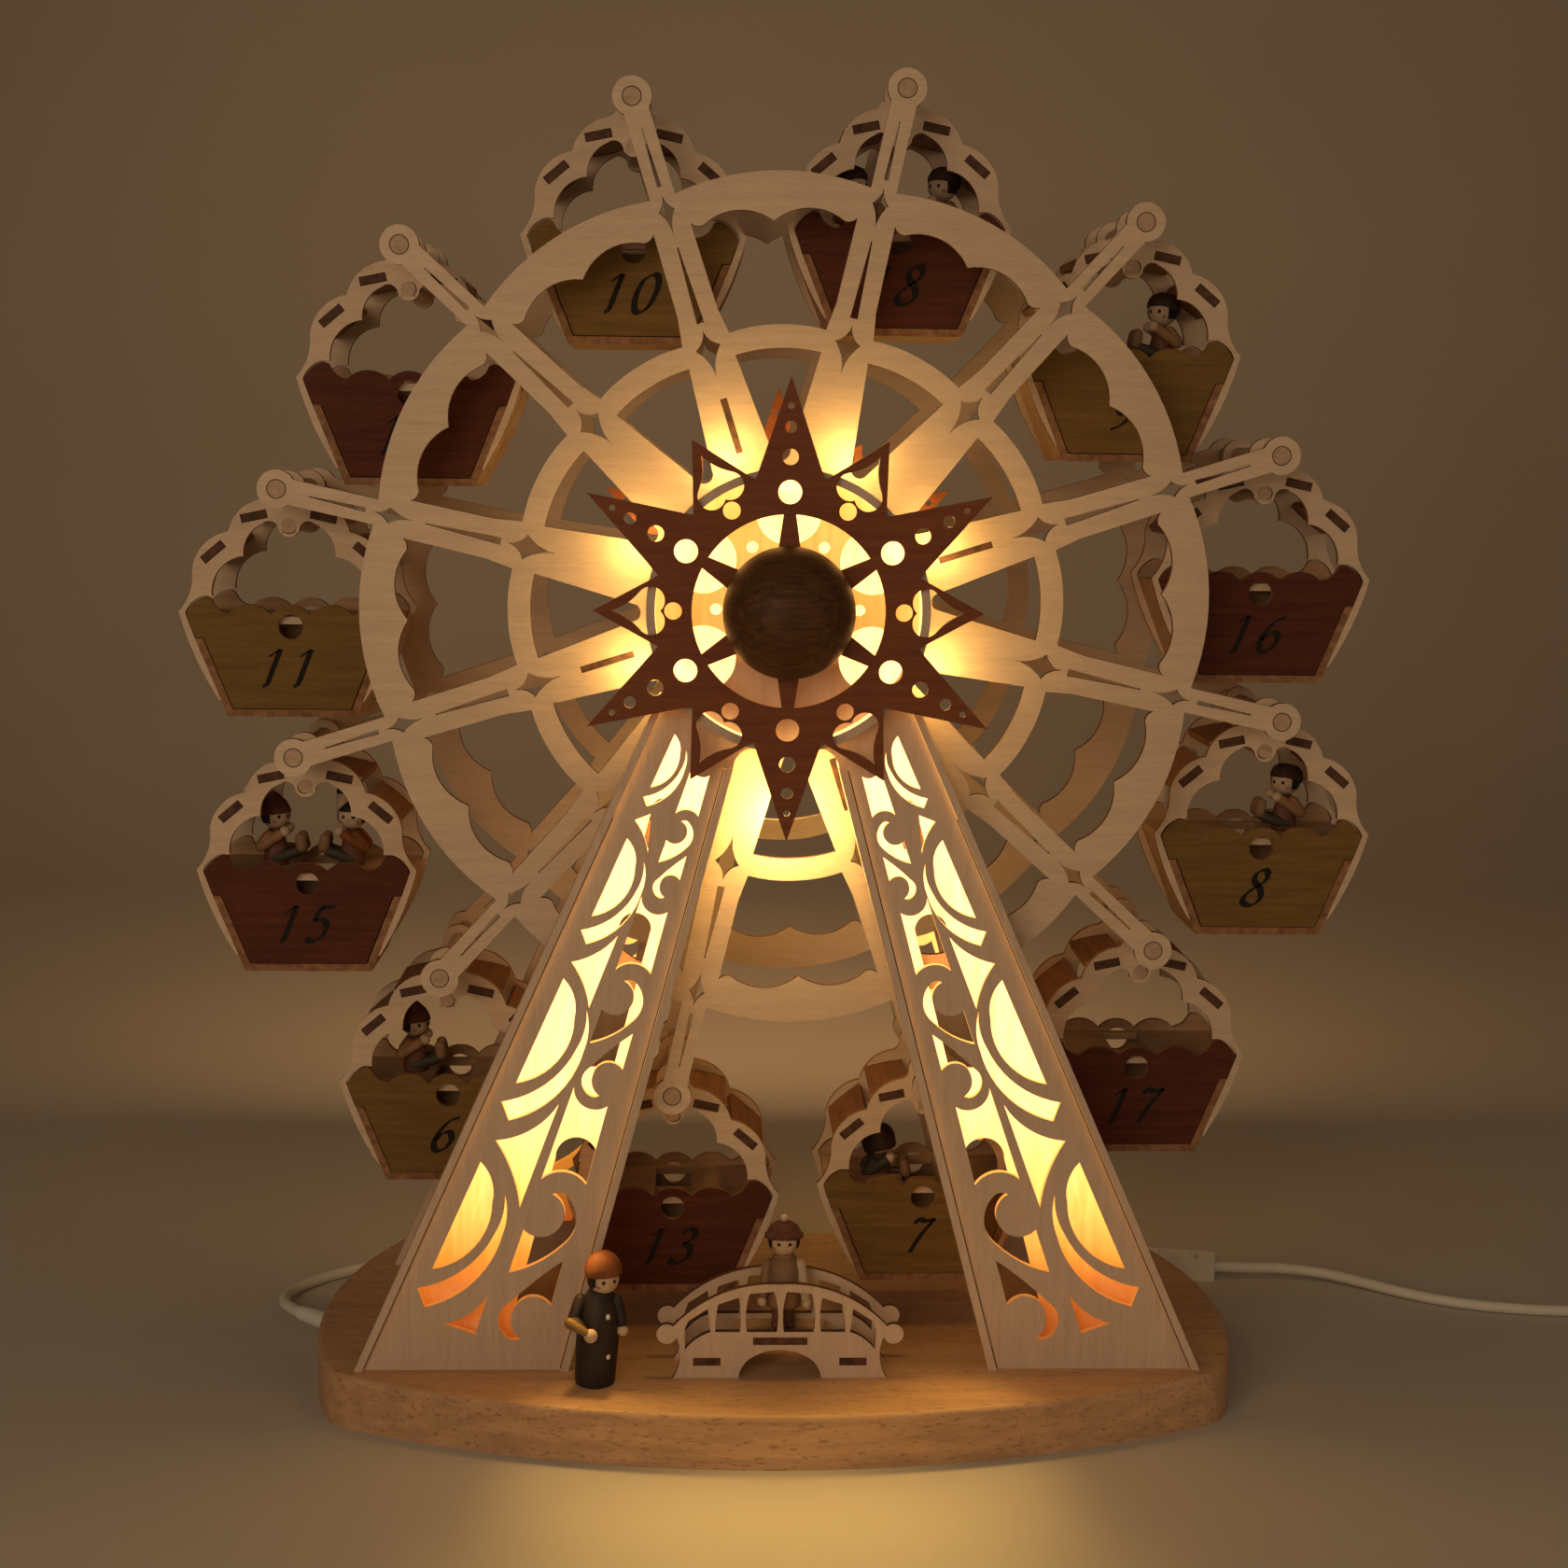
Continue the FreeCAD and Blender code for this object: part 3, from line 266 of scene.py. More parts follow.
LIT_WALL = lit_wood("lit_wall", (0.8, 0.6, 0.35), 0.9,
                    (0.038, (0.14, 0.032, 0.003)), (0.075, (0.45, 0.17, 0.02)),
                    (0.13, (1.0, 0.48, 0.09)), (0.27, (1.4, 0.74, 0.20)))
LIT_HEAD = lit_wood("lit_head", (0.7, 0.52, 0.38), 1.0,
                    (HUB - 0.022, (0.0, 0.0, 0.0)), (HUB - 0.008, (0.85, 0.38, 0.05)),
                    (HUB + 0.05, (1.25, 0.62, 0.10)))
LAMP = lit_wood("lamp_board", (0.9, 0.8, 0.5), 1.9,
                (0.0, (1.0, 0.58, 0.17)), (0.3, (1.0, 0.60, 0.24)))
WHITE_LEAD = plain("white_sheath", (0.74, 0.71, 0.64), 0.42, 0.04)
WHITE_CASE = plain("white_case", (0.78, 0.76, 0.70), 0.28, 0.03, gloss=0.3)
METAL = plain("pin_metal", (0.55, 0.55, 0.56), 0.3, 0.05)
METAL.node_tree.nodes["Principled BSDF"].inputs["Metallic"].default_value = 1.0
INK = plain("ink", (0.008, 0.006, 0.005), 0.9)
# Painted shade: a dark material for the gaps and seams where shade falls between parts
GAP_SHADE = plain("painted_gap_shade", (0.035, 0.018, 0.01), 0.9)
COAT = plain("coat_black", (0.020, 0.011, 0.009), 0.6, 0.4)
CAP_RED = wood("cap_red", (0.25, 0.085, 0.032), "Z", 0.6, 0.2, sheen=0.2)
CAP_DARK = wood("cap_dark", (0.062, 0.034, 0.027), "Z", 0.6, 0.3, sheen=0.2)
CAP_BROWN = wood("cap_brown", (0.14, 0.055, 0.035), "Z", 0.6, 0.3, sheen=0.2)
CAP_RIBBED = wood("cap_ribbed", (0.15, 0.062, 0.045), "Z", 0.7, 0.5, figure=60, sheen=0.2)
SKIN = wood("doll_skin", (0.62, 0.46, 0.33), "Z", 0.55, 0.08)
HAIR = plain("doll_hair", (0.014, 0.009, 0.007), 0.6, 0.3)
BLUSH = plain("blush", (0.45, 0.22, 0.15), 0.6)
CLOTH_BROWN = wood("doll_brown", (0.30, 0.17, 0.09), "Z", 0.6, 0.2)
CLOTH_PALE = wood("doll_pale", (0.60, 0.46, 0.32), "Z", 0.6, 0.1)
CLOTH_RED = wood("doll_red", (0.17, 0.062, 0.040), "Z", 0.6, 0.3)
CLOTH_TAN = wood("doll_tan", (0.38, 0.20, 0.095), "Z", 0.6, 0.2)
CLOTH_GREEN = wood("doll_green", (0.055, 0.048, 0.032), "Z", 0.6, 0.3)
GOLD = plain("doll_gold", (0.24, 0.135, 0.032), 0.5, 0.2)


# Mesh helpers

def add_object(name, data):
    item = bpy.data.objects.new(name, data)
    bpy.context.collection.objects.link(item)
    return item


def finish_mesh(name, bm, materials, body, smooth=True):
    mesh = bpy.data.meshes.new(name)
    bm.to_mesh(mesh)
    bm.free()
    item = add_object(name, mesh)
    for material in materials:
        mesh.materials.append(material)
    if smooth:
        mesh.shade_smooth()
    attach(item, body)
    return item


def finish_lines(name, bm, material, body):
    """Ends a mesh of thin raised bands, whose faces were made in any order."""
    bmesh.ops.recalc_face_normals(bm, faces=bm.faces)
    finish_mesh(name, bm, [material], body, smooth=False)


def scaled(profile, unit):
    return [(radius * unit, height * unit) for radius, height in profile]


def lathe(bm, profile, centre, axis=(0, 0, 1), segments=32, material=0):
    """Adds a turned form: profile is (radius, height) pairs along the axis from the centre."""
    centre = Vector(centre)
    turn = Vector((0, 0, 1)).rotation_difference(Vector(axis).normalized()).to_matrix()
    rings = []
    for radius, height in profile:
        if radius < 1e-7:
            rings.append([bm.verts.new(centre + turn @ Vector((0, 0, height)))])
            continue
        ring = []
        for s in range(segments):
            a = 2 * math.pi * s / segments
            rim = Vector((radius * math.cos(a), radius * math.sin(a), height))
            ring.append(bm.verts.new(centre + turn @ rim))
        rings.append(ring)
    for low, high in zip(rings, rings[1:]):
        for s in range(segments):
            t = (s + 1) % segments
            if len(low) == 1 and len(high) == 1:
                continue
            if len(low) == 1:
                face = bm.faces.new((low[0], high[t], high[s]))
            elif len(high) == 1:
                face = bm.faces.new((low[s], low[t], high[0]))
            else:
                face = bm.faces.new((low[s], low[t], high[t], high[s]))
            face.material_index = material
    for ring, flip in ((rings[0], True), (rings[-1], False)):
        if len(ring) > 1:
            face = bm.faces.new(list(reversed(ring)) if flip else ring)
            face.material_index = material


def ball(bm, centre, radius, material=0, squeeze=1.0):
    steps = 12
    arc = [math.pi * n / steps for n in range(steps + 1)]
    profile = [(radius * math.sin(a), -radius * squeeze * math.cos(a)) for a in arc]
    profile[0] = (0, profile[0][1])
    profile[-1] = (0, profile[-1][1])
    lathe(bm, profile, centre, segments=20, material=material)


def limb(bm, start, end, r0, r1, material):
    """A tapered rod with round ends."""
    start, end = Vector(start), Vector(end)
    length = (end - start).length
    profile = [(0, -r0)] + [(r0 * math.cos(a), r0 * math.sin(a)) for a in (-1.1, -0.6)]
    profile += [(r0, 0), (r1, length)]
    profile += [(r1 * math.cos(a), length + r1 * math.sin(a)) for a in (0.6, 1.1)]
    profile += [(0, length + r1)]
    lathe(bm, profile, start, end - start, 14, material)


def ribbon(bm, rows, quads):
    """Joins each row of points to the next by faces between the given pairs of places in a row."""
    for a, b in zip(rows, rows[1:]):
        for i, j in quads:
            bm.faces.new((a[i], a[j], b[j], b[i]))


def repaint(name, materials, rule=lambda c, n: 0):
    """Gives each face of a CAD node one of the materials, by the face's middle and normal."""
    mesh = NODES[name].data
    mesh.materials.clear()
    for material in materials:
        mesh.materials.append(material)
    for face in mesh.polygons:
        face.material_index = rule(face.center, face.normal)


# Mains lead: one spline through the route of the CAD tubes, and then the coil

SHEATH = 5.0
COIL_AT, COIL_TURNS, PLUG_HEIGHT = (422.0, 9.0), 6.25, 7.0
LEAD_ROUTE = [(-211.5, 31.0, 8.0), (-217.0, 37.5, 7.5), (-223.5, 51.0, 5.5), (-224.0, 68.0, 4.0),
              (-213.0, 88.0, 3.0), (-190.0, 106.0, 3.0), (-155.0, 116.0, 3.0), (-108.0, 113.0, 3.0),
              (-58.0, 117.0, 3.0), (0.0, 113.5, 3.0), (56.0, 117.0, 3.0), (103.0, 113.0, 3.0),
              (138.0, 113.8, 4.2), (164.0, 108.9, 5.0), (181.3, 104.7, 5.0), (199.0, 101.0, 5.0),
              (216.5, 97.2, 5.0), (230.0, 95.6, 5.0), (248.0, 96.4, 4.8), (268.0, 91.0, 4.2),
              (286.0, 78.5, 3.4), (303.0, 65.5, 2.8), (322.0, 54.5, 2.7), (348.0, 46.6, 2.8),
              (378.0, 44.2, 2.7), (403.0, 43.0, 2.7)]


def coil_point(turns):
    """The coil winds inward on the floor, climbs, winds outward on top and comes down to the plug."""
    radius, pitch, inward, climb, descent = 34.0, 5.6, 2.5, 0.5, 0.25
    low = SHEATH / 2 + 0.2
    high = low + pitch
    if turns <= inward:
        r, z = radius - pitch * turns, low
    elif turns <= inward + climb:
        s = (turns - inward) / climb
        r = radius - pitch * inward - pitch * climb * s * (1 - s)
        z = low + (high - low) * (1 - math.cos(math.pi * s)) / 2
    else:
        r, z = radius - pitch * inward + pitch * (turns - inward - climb), high
    last = max(0.0, turns - COIL_TURNS + descent) / descent
    z -= (high - PLUG_HEIGHT) * (3 * last * last - 2 * last ** 3)
    angle = math.pi / 2 - 2 * math.pi * turns
    return COIL_AT[0] + r * math.cos(angle), COIL_AT[1] + r * math.sin(angle), z


def mains_lead():
    steps, into_plug = 16, 5
    route = LEAD_ROUTE + [coil_point(n / steps) for n in range(int(COIL_TURNS * steps) + 1)]
    last, before = Vector(route[-1]), Vector(route[-2])
    route.append(tuple(last + (last - before).normalized() * into_plug))
    curve = bpy.data.curves.new("mains_lead", "CURVE")
    curve.dimensions = "3D"
    spline = curve.splines.new("NURBS")
    spline.points.add(len(route) - 1)
    for point, place in zip(spline.points, route):
        point.co = (*(c * MM for c in place), 1)
    spline.order_u = 3
    spline.use_endpoint_u = True
    spline.resolution_u = 8
    curve.bevel_depth = SHEATH / 2 * MM
    curve.bevel_resolution = 6
    curve.use_fill_caps = True
    curve.materials.append(WHITE_LEAD)
    lead = add_object("mains_lead", curve)
    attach(lead, "stand")
    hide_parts("inner_lead", "outer_lead", "lead_coil")
    [c * MM for c in route[0]]


mains_lead()


# Materials of the CAD nodes

def flat_plate(name, face_material, edge_material):
    repaint(name, [face_material, edge_material], lambda c, n: 0 if abs(n.y) > FLAT else 1)


def ribs_rule(c, n):
    return 1 if abs(n.y) > FLAT else 0


def base_rule(c, n):
    return 0 if n.z > 0.7 else 1


def bridge_rule(c, n):
    """The bridge's two arches are pale, its deck between them is brown and its tongues are dark."""
    x, z = abs(c.x) / MM, (c.z - BASE_TOP) / MM
    if -0.0739 < c.y < -0.0567:
        return 2
    if abs(n.y) < FLAT:
        return 1
    deck_tongue = x < 10.95 and 14.05 < z < 17.15
    foot_tongue = 24.05 < x < 35.05 and 5.35 < z < 8.55
    return 3 if deck_tongue or foot_tongue else 0


def panel_rule(c, n):
    """Carved panels glow on the face to the lamps, in the head's ring and in the slots' edges."""
    from_hub = math.hypot(c.x, c.z - HUB)
    if abs(n.y) < FLAT:
        return 2 if c.z > 0.03 and from_hub > 0.03 else 1
    inward = n.y > 0 if c.y < 0 else n.y < 0
    if not inward and from_hub < 0.0535:
        return 3
    return 2 if inward else 0


def inner_rule(c, n):
    """Inner panels glow on the face to the carved panels."""
    if abs(n.y) < FLAT:
        return 1
    outward = n.y < 0 if c.y < 0 else n.y > 0
    return 2 if outward else 0


def strip_rule(c, n):
    """Side strips glow on the side that faces the lamps."""
    if abs(n.y) > FLAT or abs(n.z) > 0.97:
        return 0
    foot_middle, head_middle, leg_height = 129, 35, 262
    height = c.z - BASE_TOP
    middle = foot_middle * MM - height * (foot_middle - head_middle) / leg_height
    inside = (middle - abs(c.x)) * (n.x if c.x > 0 else -n.x) > 0
    return 1 if inside and abs(c.y) < 0.0681 else 0


def drum_rule(c, n):
    out = Vector((c.x, 0, c.z - HUB))
    return 1 if out.dot(n) < 0 and abs(n.y) < 0.5 else 0


def lamps_rule(c, n):
    return 1 if c.z < HUB - 0.075 else 0


def drawer_rule(c, n):
    """A drawer's front is stained, its edges are browned and its tray is brown."""
    if abs(c.y) < 0.0224:
        return 2
    if abs(n.y) < FLAT:
        return 1
    return 0 if abs(c.y) > 0.0254 else 2


def plug_rule():
    """The metal pins are the part of the plug that is nearest to the viewer."""
    pin_end = min(v.co.y for v in NODES["plug"].data.vertices)
    case_starts = pin_end + 18.9 * MM
    return lambda c, n: 1 if c.y < case_starts else 0


# Each roof board's middle (x, z) in a gondola, in mm from the pivot, and its tilt in degrees
ROOF = ((14.0, -11.4, 12.0), (30.6, -25.9, 40.0))


def gondola_rule(at):
    """Plates are pale with browned edges; roof boards and their tongues are dark; walls are brown."""
    plate_inside, plate_middle = 21.9, 24.9
    board_thick, board_long, tongue_long = 1.55, 8.8, 5.5
    wall_top, wall_top_x, wall_lean = -61.0, 38.7, 0.39873

    def rule(c, n):
        x, y, z = abs(c.x - at.x) / MM, abs(c.y) / MM, (c.z - at.z) / MM
        for x0, z0, tilt in ROOF:
            a = math.radians(tilt)
            along = (x - x0) * math.cos(a) - (z - z0) * math.sin(a)
            across = (x - x0) * math.sin(a) + (z - z0) * math.cos(a)
            if abs(across) < board_thick and abs(along) < board_long:
                if y < plate_inside:
                    return 2
                if y > plate_middle and abs(along) < tongue_long:
                    return 5
        if y > plate_inside:
            wall_x = wall_top_x - wall_lean * (wall_top - z)
            if z < wall_top + 0.1 and x < wall_x + 0.02:
                return 4
            if y > plate_middle and x < 3.02 and -18.2 < z < -12.0:
                return 3
            return 0 if abs(n.y) > FLAT else 1
        if z > -20 and x < 3.1:
            return 3
        return 6
    return rule


for name in ("front_wheel_plate", "rear_wheel_plate"):
    flat_plate(name, WHEEL_PLY, EDGE)
flat_plate("hub_stars", DARK_PLY, EDGE)
for name in ("gondola_pins", "wheel_axle", "axle_bushes"):
    repaint(name, [DOWEL])
for name in ("lead_gland", "cord_switch", "switch_rocker"):
    repaint(name, [WHITE_CASE])
repaint("plug", [WHITE_CASE, METAL], plug_rule())
repaint("wheel_ribs", [WHEEL_PLY, TONGUE], ribs_rule)
repaint("hub_knobs", [KNOB_WOOD])
repaint("base_board", [BEECH, BEECH_SIDE], base_rule)
repaint("footbridge", [FRAME_PLY, EDGE, INNER_PLY, TONGUE], bridge_rule)
for name in ("front_outer_panel", "rear_outer_panel"):
    repaint(name, [FRAME_PLY, PALE_EDGE, LIT_WALL, LIT_HEAD], panel_rule)
repaint("inner_panels", [FRAME_PLY, PALE_EDGE, LIT], inner_rule)
repaint("pillar_side_walls", [FRAME_PLY, LIT_WALL], strip_rule)
repaint("hub_drums", [FRAME_PLY, LAMP], drum_rule)
repaint("lamps", [LAMP, LIT], lamps_rule)
GONDOLA_WOODS = [GONDOLA_PLY, PALE_EDGE, ROOF_WOOD, DOWEL, PALE_EDGE, TONGUE, INNER_PLY]
for k, at in enumerate(PIVOTS):
    stain = RED_WOOD if k % 2 == 0 else OLIVE_WOOD
    repaint("gondola_%02d" % (k + 1), GONDOLA_WOODS, gondola_rule(at))
    for side in ("front", "rear"):
        repaint("%s_drawer_%02d" % (side, k + 1), [stain, PALE_EDGE, INNER_PLY], drawer_rule)


# Numbers on the drawers, written with a broad pen; a digit is a list of strokes in a unit square

STROKES = {
    "0": [[(.32, 1), (.12, .82), (.05, .42), (.14, .06), (.30, 0), (.48, .18), (.56, .6), (.48, .93),
           (.32, 1)]],
    "1": [[(.10, .80), (.22, .90), (.34, 1)], [(.34, 1), (.31, .5), (.28, .06), (.18, 0)]],
    "2": [[(.08, .76), (.16, .94), (.34, 1), (.52, .88), (.50, .66), (.30, .36), (.04, .03)],
          [(.04, .03), (.2, .08), (.40, .0), (.56, .07)]],
    "3": [[(.10, .86), (.26, 1), (.47, .92), (.46, .70), (.24, .56)],
          [(.24, .56), (.46, .47), (.52, .24), (.36, .03), (.14, 0), (.0, .12)]],
    "4": [[(.42, 1), (.22, .66), (.02, .32)], [(.02, .32), (.3, .30), (.60, .33)],
          [(.46, .66), (.42, .3), (.38, -.06)]],
    "5": [[(.56, 1), (.38, .96), (.20, .97)], [(.20, .97), (.15, .76), (.11, .58)],
          [(.11, .58), (.32, .62), (.50, .46), (.48, .20), (.28, .01), (.04, .07)]],
    "6": [[(.54, .98), (.28, .84), (.10, .52), (.06, .22), (.20, .01), (.42, .08), (.52, .34),
           (.40, .54), (.22, .50), (.09, .32)]],
    "7": [[(.06, .84), (.12, .98), (.34, .92), (.58, .99)], [(.58, .99), (.36, .56), (.20, 0)]],
    "8": [[(.50, .84), (.36, 1), (.16, .90), (.16, .68), (.40, .46), (.50, .20), (.34, 0), (.10, .04),
           (.03, .22), (.20, .46), (.44, .66), (.50, .84)]],
    "9": [[(.06, .02), (.32, .16), (.50, .48), (.54, .78), (.40, .99), (.18, .92), (.08, .66),
           (.20, .46), (.38, .50), (.51, .68)]],
}


def smooth_line(points):
    steps = 8
    out = []
    for n in range(len(points) - 1):
        p = [Vector(points[max(0, min(len(points) - 1, n + d))]) for d in (-1, 0, 1, 2)]
        for s in range(steps):
            t = s / steps
            out.append(0.5 * ((2 * p[1]) + (p[2] - p[0]) * t
                              + (2 * p[0] - 5 * p[1] + 4 * p[2] - p[3]) * t * t
                              + (3 * p[1] - p[0] - 3 * p[2] + p[3]) * t ** 3))
    out.append(Vector(points[-1]))
    return out


def write_number(text, name, at, facing, body):
    """Numbers burnt into the drawer's front; facing is -1 for the front and 1 for the rear."""
    bm = bmesh.new()
    tall, below_pivot, proud = 15 * MM, 72.5 * MM, 0.12
    advance, lean, pen, hairline, swell = 0.83, 0.34, math.radians(35), 0.026, 0.060
    left = 0.04 - advance * len(text) / 2
    for place, digit in enumerate(text):
        for stroke in STROKES[digit]:
            line = smooth_line(stroke)
            rows = []
            for n, p in enumerate(line):
                ahead = line[min(n + 1, len(line) - 1)] - line[max(n - 1, 0)]
                angle = math.atan2(ahead.y, ahead.x)
                half = hairline + swell * abs(math.sin(angle - pen))
                side = Vector((-math.sin(angle), math.cos(angle))) * half
                row = []
                for q in (p + side, p - side):
                    x = at.x - facing * (q.x + advance * place + left + lean * (q.y - 0.5)) * tall
                    z = at.z - below_pivot + (q.y - 0.5) * tall
                    for lift in (0.0, proud):
                        row.append(bm.verts.new((x, facing * (DRAWER_OUTSIDE + lift) * MM, z)))
                rows.append(row)
            ribbon(bm, rows, ((1, 3), (0, 1), (3, 2)))
    finish_lines(name, bm, INK, body)


FRONT_NUMBERS = "18 9 16 8 17 7 13 6 15 11 14 10".split()
REAR_NUMBERS = "4 22 1 19 24 12 3 21 5 23 2 20".split()
for k, at in enumerate(PIVOTS):
    label = "%02d" % (k + 1)
    write_number(FRONT_NUMBERS[k], "front_number_" + label, at, -1, "front_box_" + label)
    write_number(REAR_NUMBERS[k], "rear_number_" + label, at, 1, "rear_box_" + label)


# Painted shade: dark lines in the gaps round the pins in the lugs, round the hanger rods and round the
# roof boards' tongues

LINE_PROUD = 0.06


def gap_shade_ring(bm, centre, radius, y, facing, wide, start=0.0, end=360.0):
    """A thin line of painted shade in the gap round a rod's end, from one angle to another and widest in
    its middle.
    """
    steps, thinnest = 30, 0.02
    whole = end - start > 359
    rows = []
    for s in range(steps + 1):
        part = s / steps
        a = math.radians(start + (end - start) * part)
        line = wide if whole else wide * math.sin(math.pi * part) + thinnest
        row = []
        for r in (radius * MM, (radius + line) * MM):
            x, z = centre.x + r * math.cos(a), centre.z + r * math.sin(a)
            for lift in (0.0, LINE_PROUD):
                row.append(bm.verts.new((x, facing * (y + lift) * MM, z)))
        rows.append(row)
    ribbon(bm, rows, ((1, 3), (0, 1), (3, 2)))


def raised_ring(bm, outer, inner, y, facing):
    """A thin raised band between two outlines of (x, z) points that lie in the plane at depth y."""
    rows = []
    for edge in (outer, inner):
        for lift in (0.0, LINE_PROUD):
            rows.append([bm.verts.new((x, facing * (y + lift) * MM, z)) for x, z in edge])
    for low, high in ((0, 1), (1, 3), (3, 2)):
        for n in range(len(outer)):
            m = (n + 1) % len(outer)
            bm.faces.new((rows[low][n], rows[low][m], rows[high][m], rows[high][n]))


def tongue_gap_shade(bm, at, x0, z0, tilt, facing):
    """A line of painted shade in the gap round the end of a roof board's tongue."""
    half_long, half_thick, wide = 5.1, 1.5, 0.3
    a = math.radians(tilt)
    loops = []
    for grow in (wide, 0.0):
        loop = []
        for i, j in ((1, 1), (1, -1), (-1, -1), (-1, 1)):
            u, v = i * (half_long + grow), j * (half_thick + grow)
            loop.append((at.x + (x0 + u * math.cos(a) + v * math.sin(a)) * MM,
                         at.z + (z0 - u * math.sin(a) + v * math.cos(a)) * MM))
        loops.append(loop)
    raised_ring(bm, loops[0], loops[1], PLATE_OUTSIDE, facing)


bm = bmesh.new()
for at in PIVOTS:
    for facing in (-1, 1):
        gap_shade_ring(bm, at, 3.5, LUG_OUTSIDE, facing, 0.35)
finish_lines("pin_gap_shade", bm, GAP_SHADE, "wheel")
ROD_BELOW_PIVOT = Vector((0, 0, -0.0151))
for k, at in enumerate(PIVOTS):
    bm = bmesh.new()
    for facing in (-1, 1):
        start = random.uniform(150, 330)
        gap_shade_ring(bm, at + ROD_BELOW_PIVOT, 2.95, PLATE_OUTSIDE, facing, 0.42, start, start + 150)
        for side in (-1, 1):
            for x0, z0, tilt in ROOF:
                tongue_gap_shade(bm, at, side * x0, z0, side * tilt, facing)
    finish_lines("rod_gap_shade_%02d" % (k + 1), bm, GAP_SHADE, "gondola_%02d" % (k + 1))


# Painted shade: dark lines in the seams between the carved panels and the side strips

def seam_shade_line(bm, line, inset, low, high, side, facing):
    """A line of painted shade beside a leg's edge, which runs through the two given points above the
    base.
    """
    wide, proud = 0.45, 0.08
    (x0, z0), (x1, z1) = line
    foot, top = [x0 + (x1 - x0) * (z - z0) / (z1 - z0) + inset for z in (low, high)]
    rows = []
    for lift in (0.0, proud):
        for x, z in ((foot, low), (top, high), (top + wide, high), (foot + wide, low)):
            y = facing * (PANEL_OUTSIDE + lift) * MM
            rows.append(bm.verts.new((side * x * MM, y, z * MM + BASE_TOP)))
    for n in range(4):
        m = (n + 1) % 4
        bm.faces.new((rows[n], rows[m], rows[4 + m], rows[4 + n]))
    bm.faces.new(rows[4:])


OUTER_EDGE, INNER_EDGE = ((172.6, 0.0), (50.1, 276.0)), ((85.8, 0.0), (20.8, 247.7))
bm = bmesh.new()
for facing in (-1, 1):
    for side in (-1, 1):
        seam_shade_line(bm, OUTER_EDGE, -3.75, 0.5, 228, side, facing)
        seam_shade_line(bm, INNER_EDGE, 3.3, 0.5, 247, side, facing)
finish_lines("strip_seam_shades", bm, GAP_SHADE, "stand")


# Dolls. Each has the same places for its materials; 4 to 7 differ from doll to doll.

ON_SKIN, ON_HAIR, ON_CAP, ON_BLUSH = range(4)

# Profiles of the caps, in radii of the head
CAPS = {
    "knitted": [(1.02, 0.22), (1.14, 0.20), (1.18, 0.34), (1.12, 0.50), (1.06, 0.66), (0.88, 0.95),
                (0.55, 1.18), (0.2, 1.27), (0, 1.28)],
    "beret": [(1.0, 0.14), (1.10, 0.16), (1.15, 0.30), (1.14, 0.70), (1.0, 1.10), (0.74, 1.42),
              (0.4, 1.62), (0, 1.68)],
    "flat": [(1.06, 0.05), (1.14, 0.14), (1.18, 0.40), (1.05, 0.85), (0.7, 1.14), (0, 1.24)],
    "pointed": [(1.05, 0.05), (1.12, 0.16), (1.06, 0.5), (0.84, 0.95), (0.45, 1.38), (0.12, 1.64),
                (0, 1.68)],
    "tall": [(0.50, 0.3), (0.46, 1.0), (0.38, 1.8), (0, 1.85)],
    "hood": [(1.06, -0.7), (1.2, -0.5), (1.26, 0.2), (1.1, 0.8), (0.7, 1.15), (0, 1.25)],
}
KNITTED_BRIM = [(0, 0.10), (1.08, 0.10), (1.24, 0.18), (1.24, 0.44), (1.1, 0.52), (0, 0.52)]
TALL_TOP = [(0, 1.6), (0.43, 1.6), (0.40, 1.9), (0.24, 2.12), (0, 2.15)]
# A painted spot's profile, in radii of the spot; it lies on the head's surface
SPOT = [(1, -0.1), (0.8, 0.18), (0, 0.35)]


def hair_shell(bm, centre, r, turn, hair_line):
    """The hair is a thin shell that leaves the face free below the hair line."""
    shell = bmesh.new()
    bmesh.ops.create_uvsphere(shell, u_segments=28, v_segments=18, radius=r * 1.035)
    keep = {}
    for face in shell.faces:
        c = turn.transposed() @ face.calc_center_median()
        in_face = c.y < -0.35 * r and c.z < hair_line * r and abs(c.x) < 0.80 * r
        if in_face or c.z < -0.55 * r:
            continue
        made = []
        for v in face.verts:
            if v.index not in keep:
                keep[v.index] = bm.verts.new(centre + v.co)
            made.append(keep[v.index])
        bm.faces.new(made).material_index = ON_HAIR
    shell.free()


def doll_head(bm, centre, r, cap, face_turn=0.0, pompom=None, back=0.0, shift=0.0):
    """A pale round head with painted hair, eyes, cheeks and a cap that may lean to the back."""
    centre = Vector(centre)
    ball(bm, centre, r, ON_SKIN)
    turn = Matrix.Rotation(face_turn, 3, "Z")
    hair_shell(bm, centre, r, turn, 0.42 if pompom is None else 0.7)
    for side in (-1, 1):
        for x, z, size, paint in ((0.36, -0.02, 0.13, ON_HAIR), (0.60, -0.38, 0.14, ON_BLUSH)):
            front = -math.sqrt(max(0.05, 1 - x * x - z * z))
            out = turn @ Vector((side * x * r, front * r, z * r))
            lathe(bm, scaled(SPOT, size * r), centre + out * 0.99, out, 12, paint)
    nose = turn @ Vector((0, -0.99 * r, -0.2 * r))
    ball(bm, centre + nose, 0.10 * r, ON_SKIN)
    seat = centre + turn @ Vector((shift, 0.12 * back, 0)) * r
    up = turn @ Vector((0, back, 1))
    profile = CAPS[cap]
    lathe(bm, scaled([(0, profile[0][1])] + profile, r), seat, up, 28, ON_CAP)
    if cap == "knitted":
        lathe(bm, scaled(KNITTED_BRIM, r), seat, up, 28, ON_CAP)
    if cap == "tall":
        lathe(bm, scaled(TALL_TOP, r), seat, up, 20, ON_HAIR)
    if pompom is not None:
        ball(bm, centre + Vector((0, 0, 1.46 * r)), 0.27 * r, pompom)


def doll_place(foot, x, y, z):
    return foot + Vector((x, y, z)) * MM


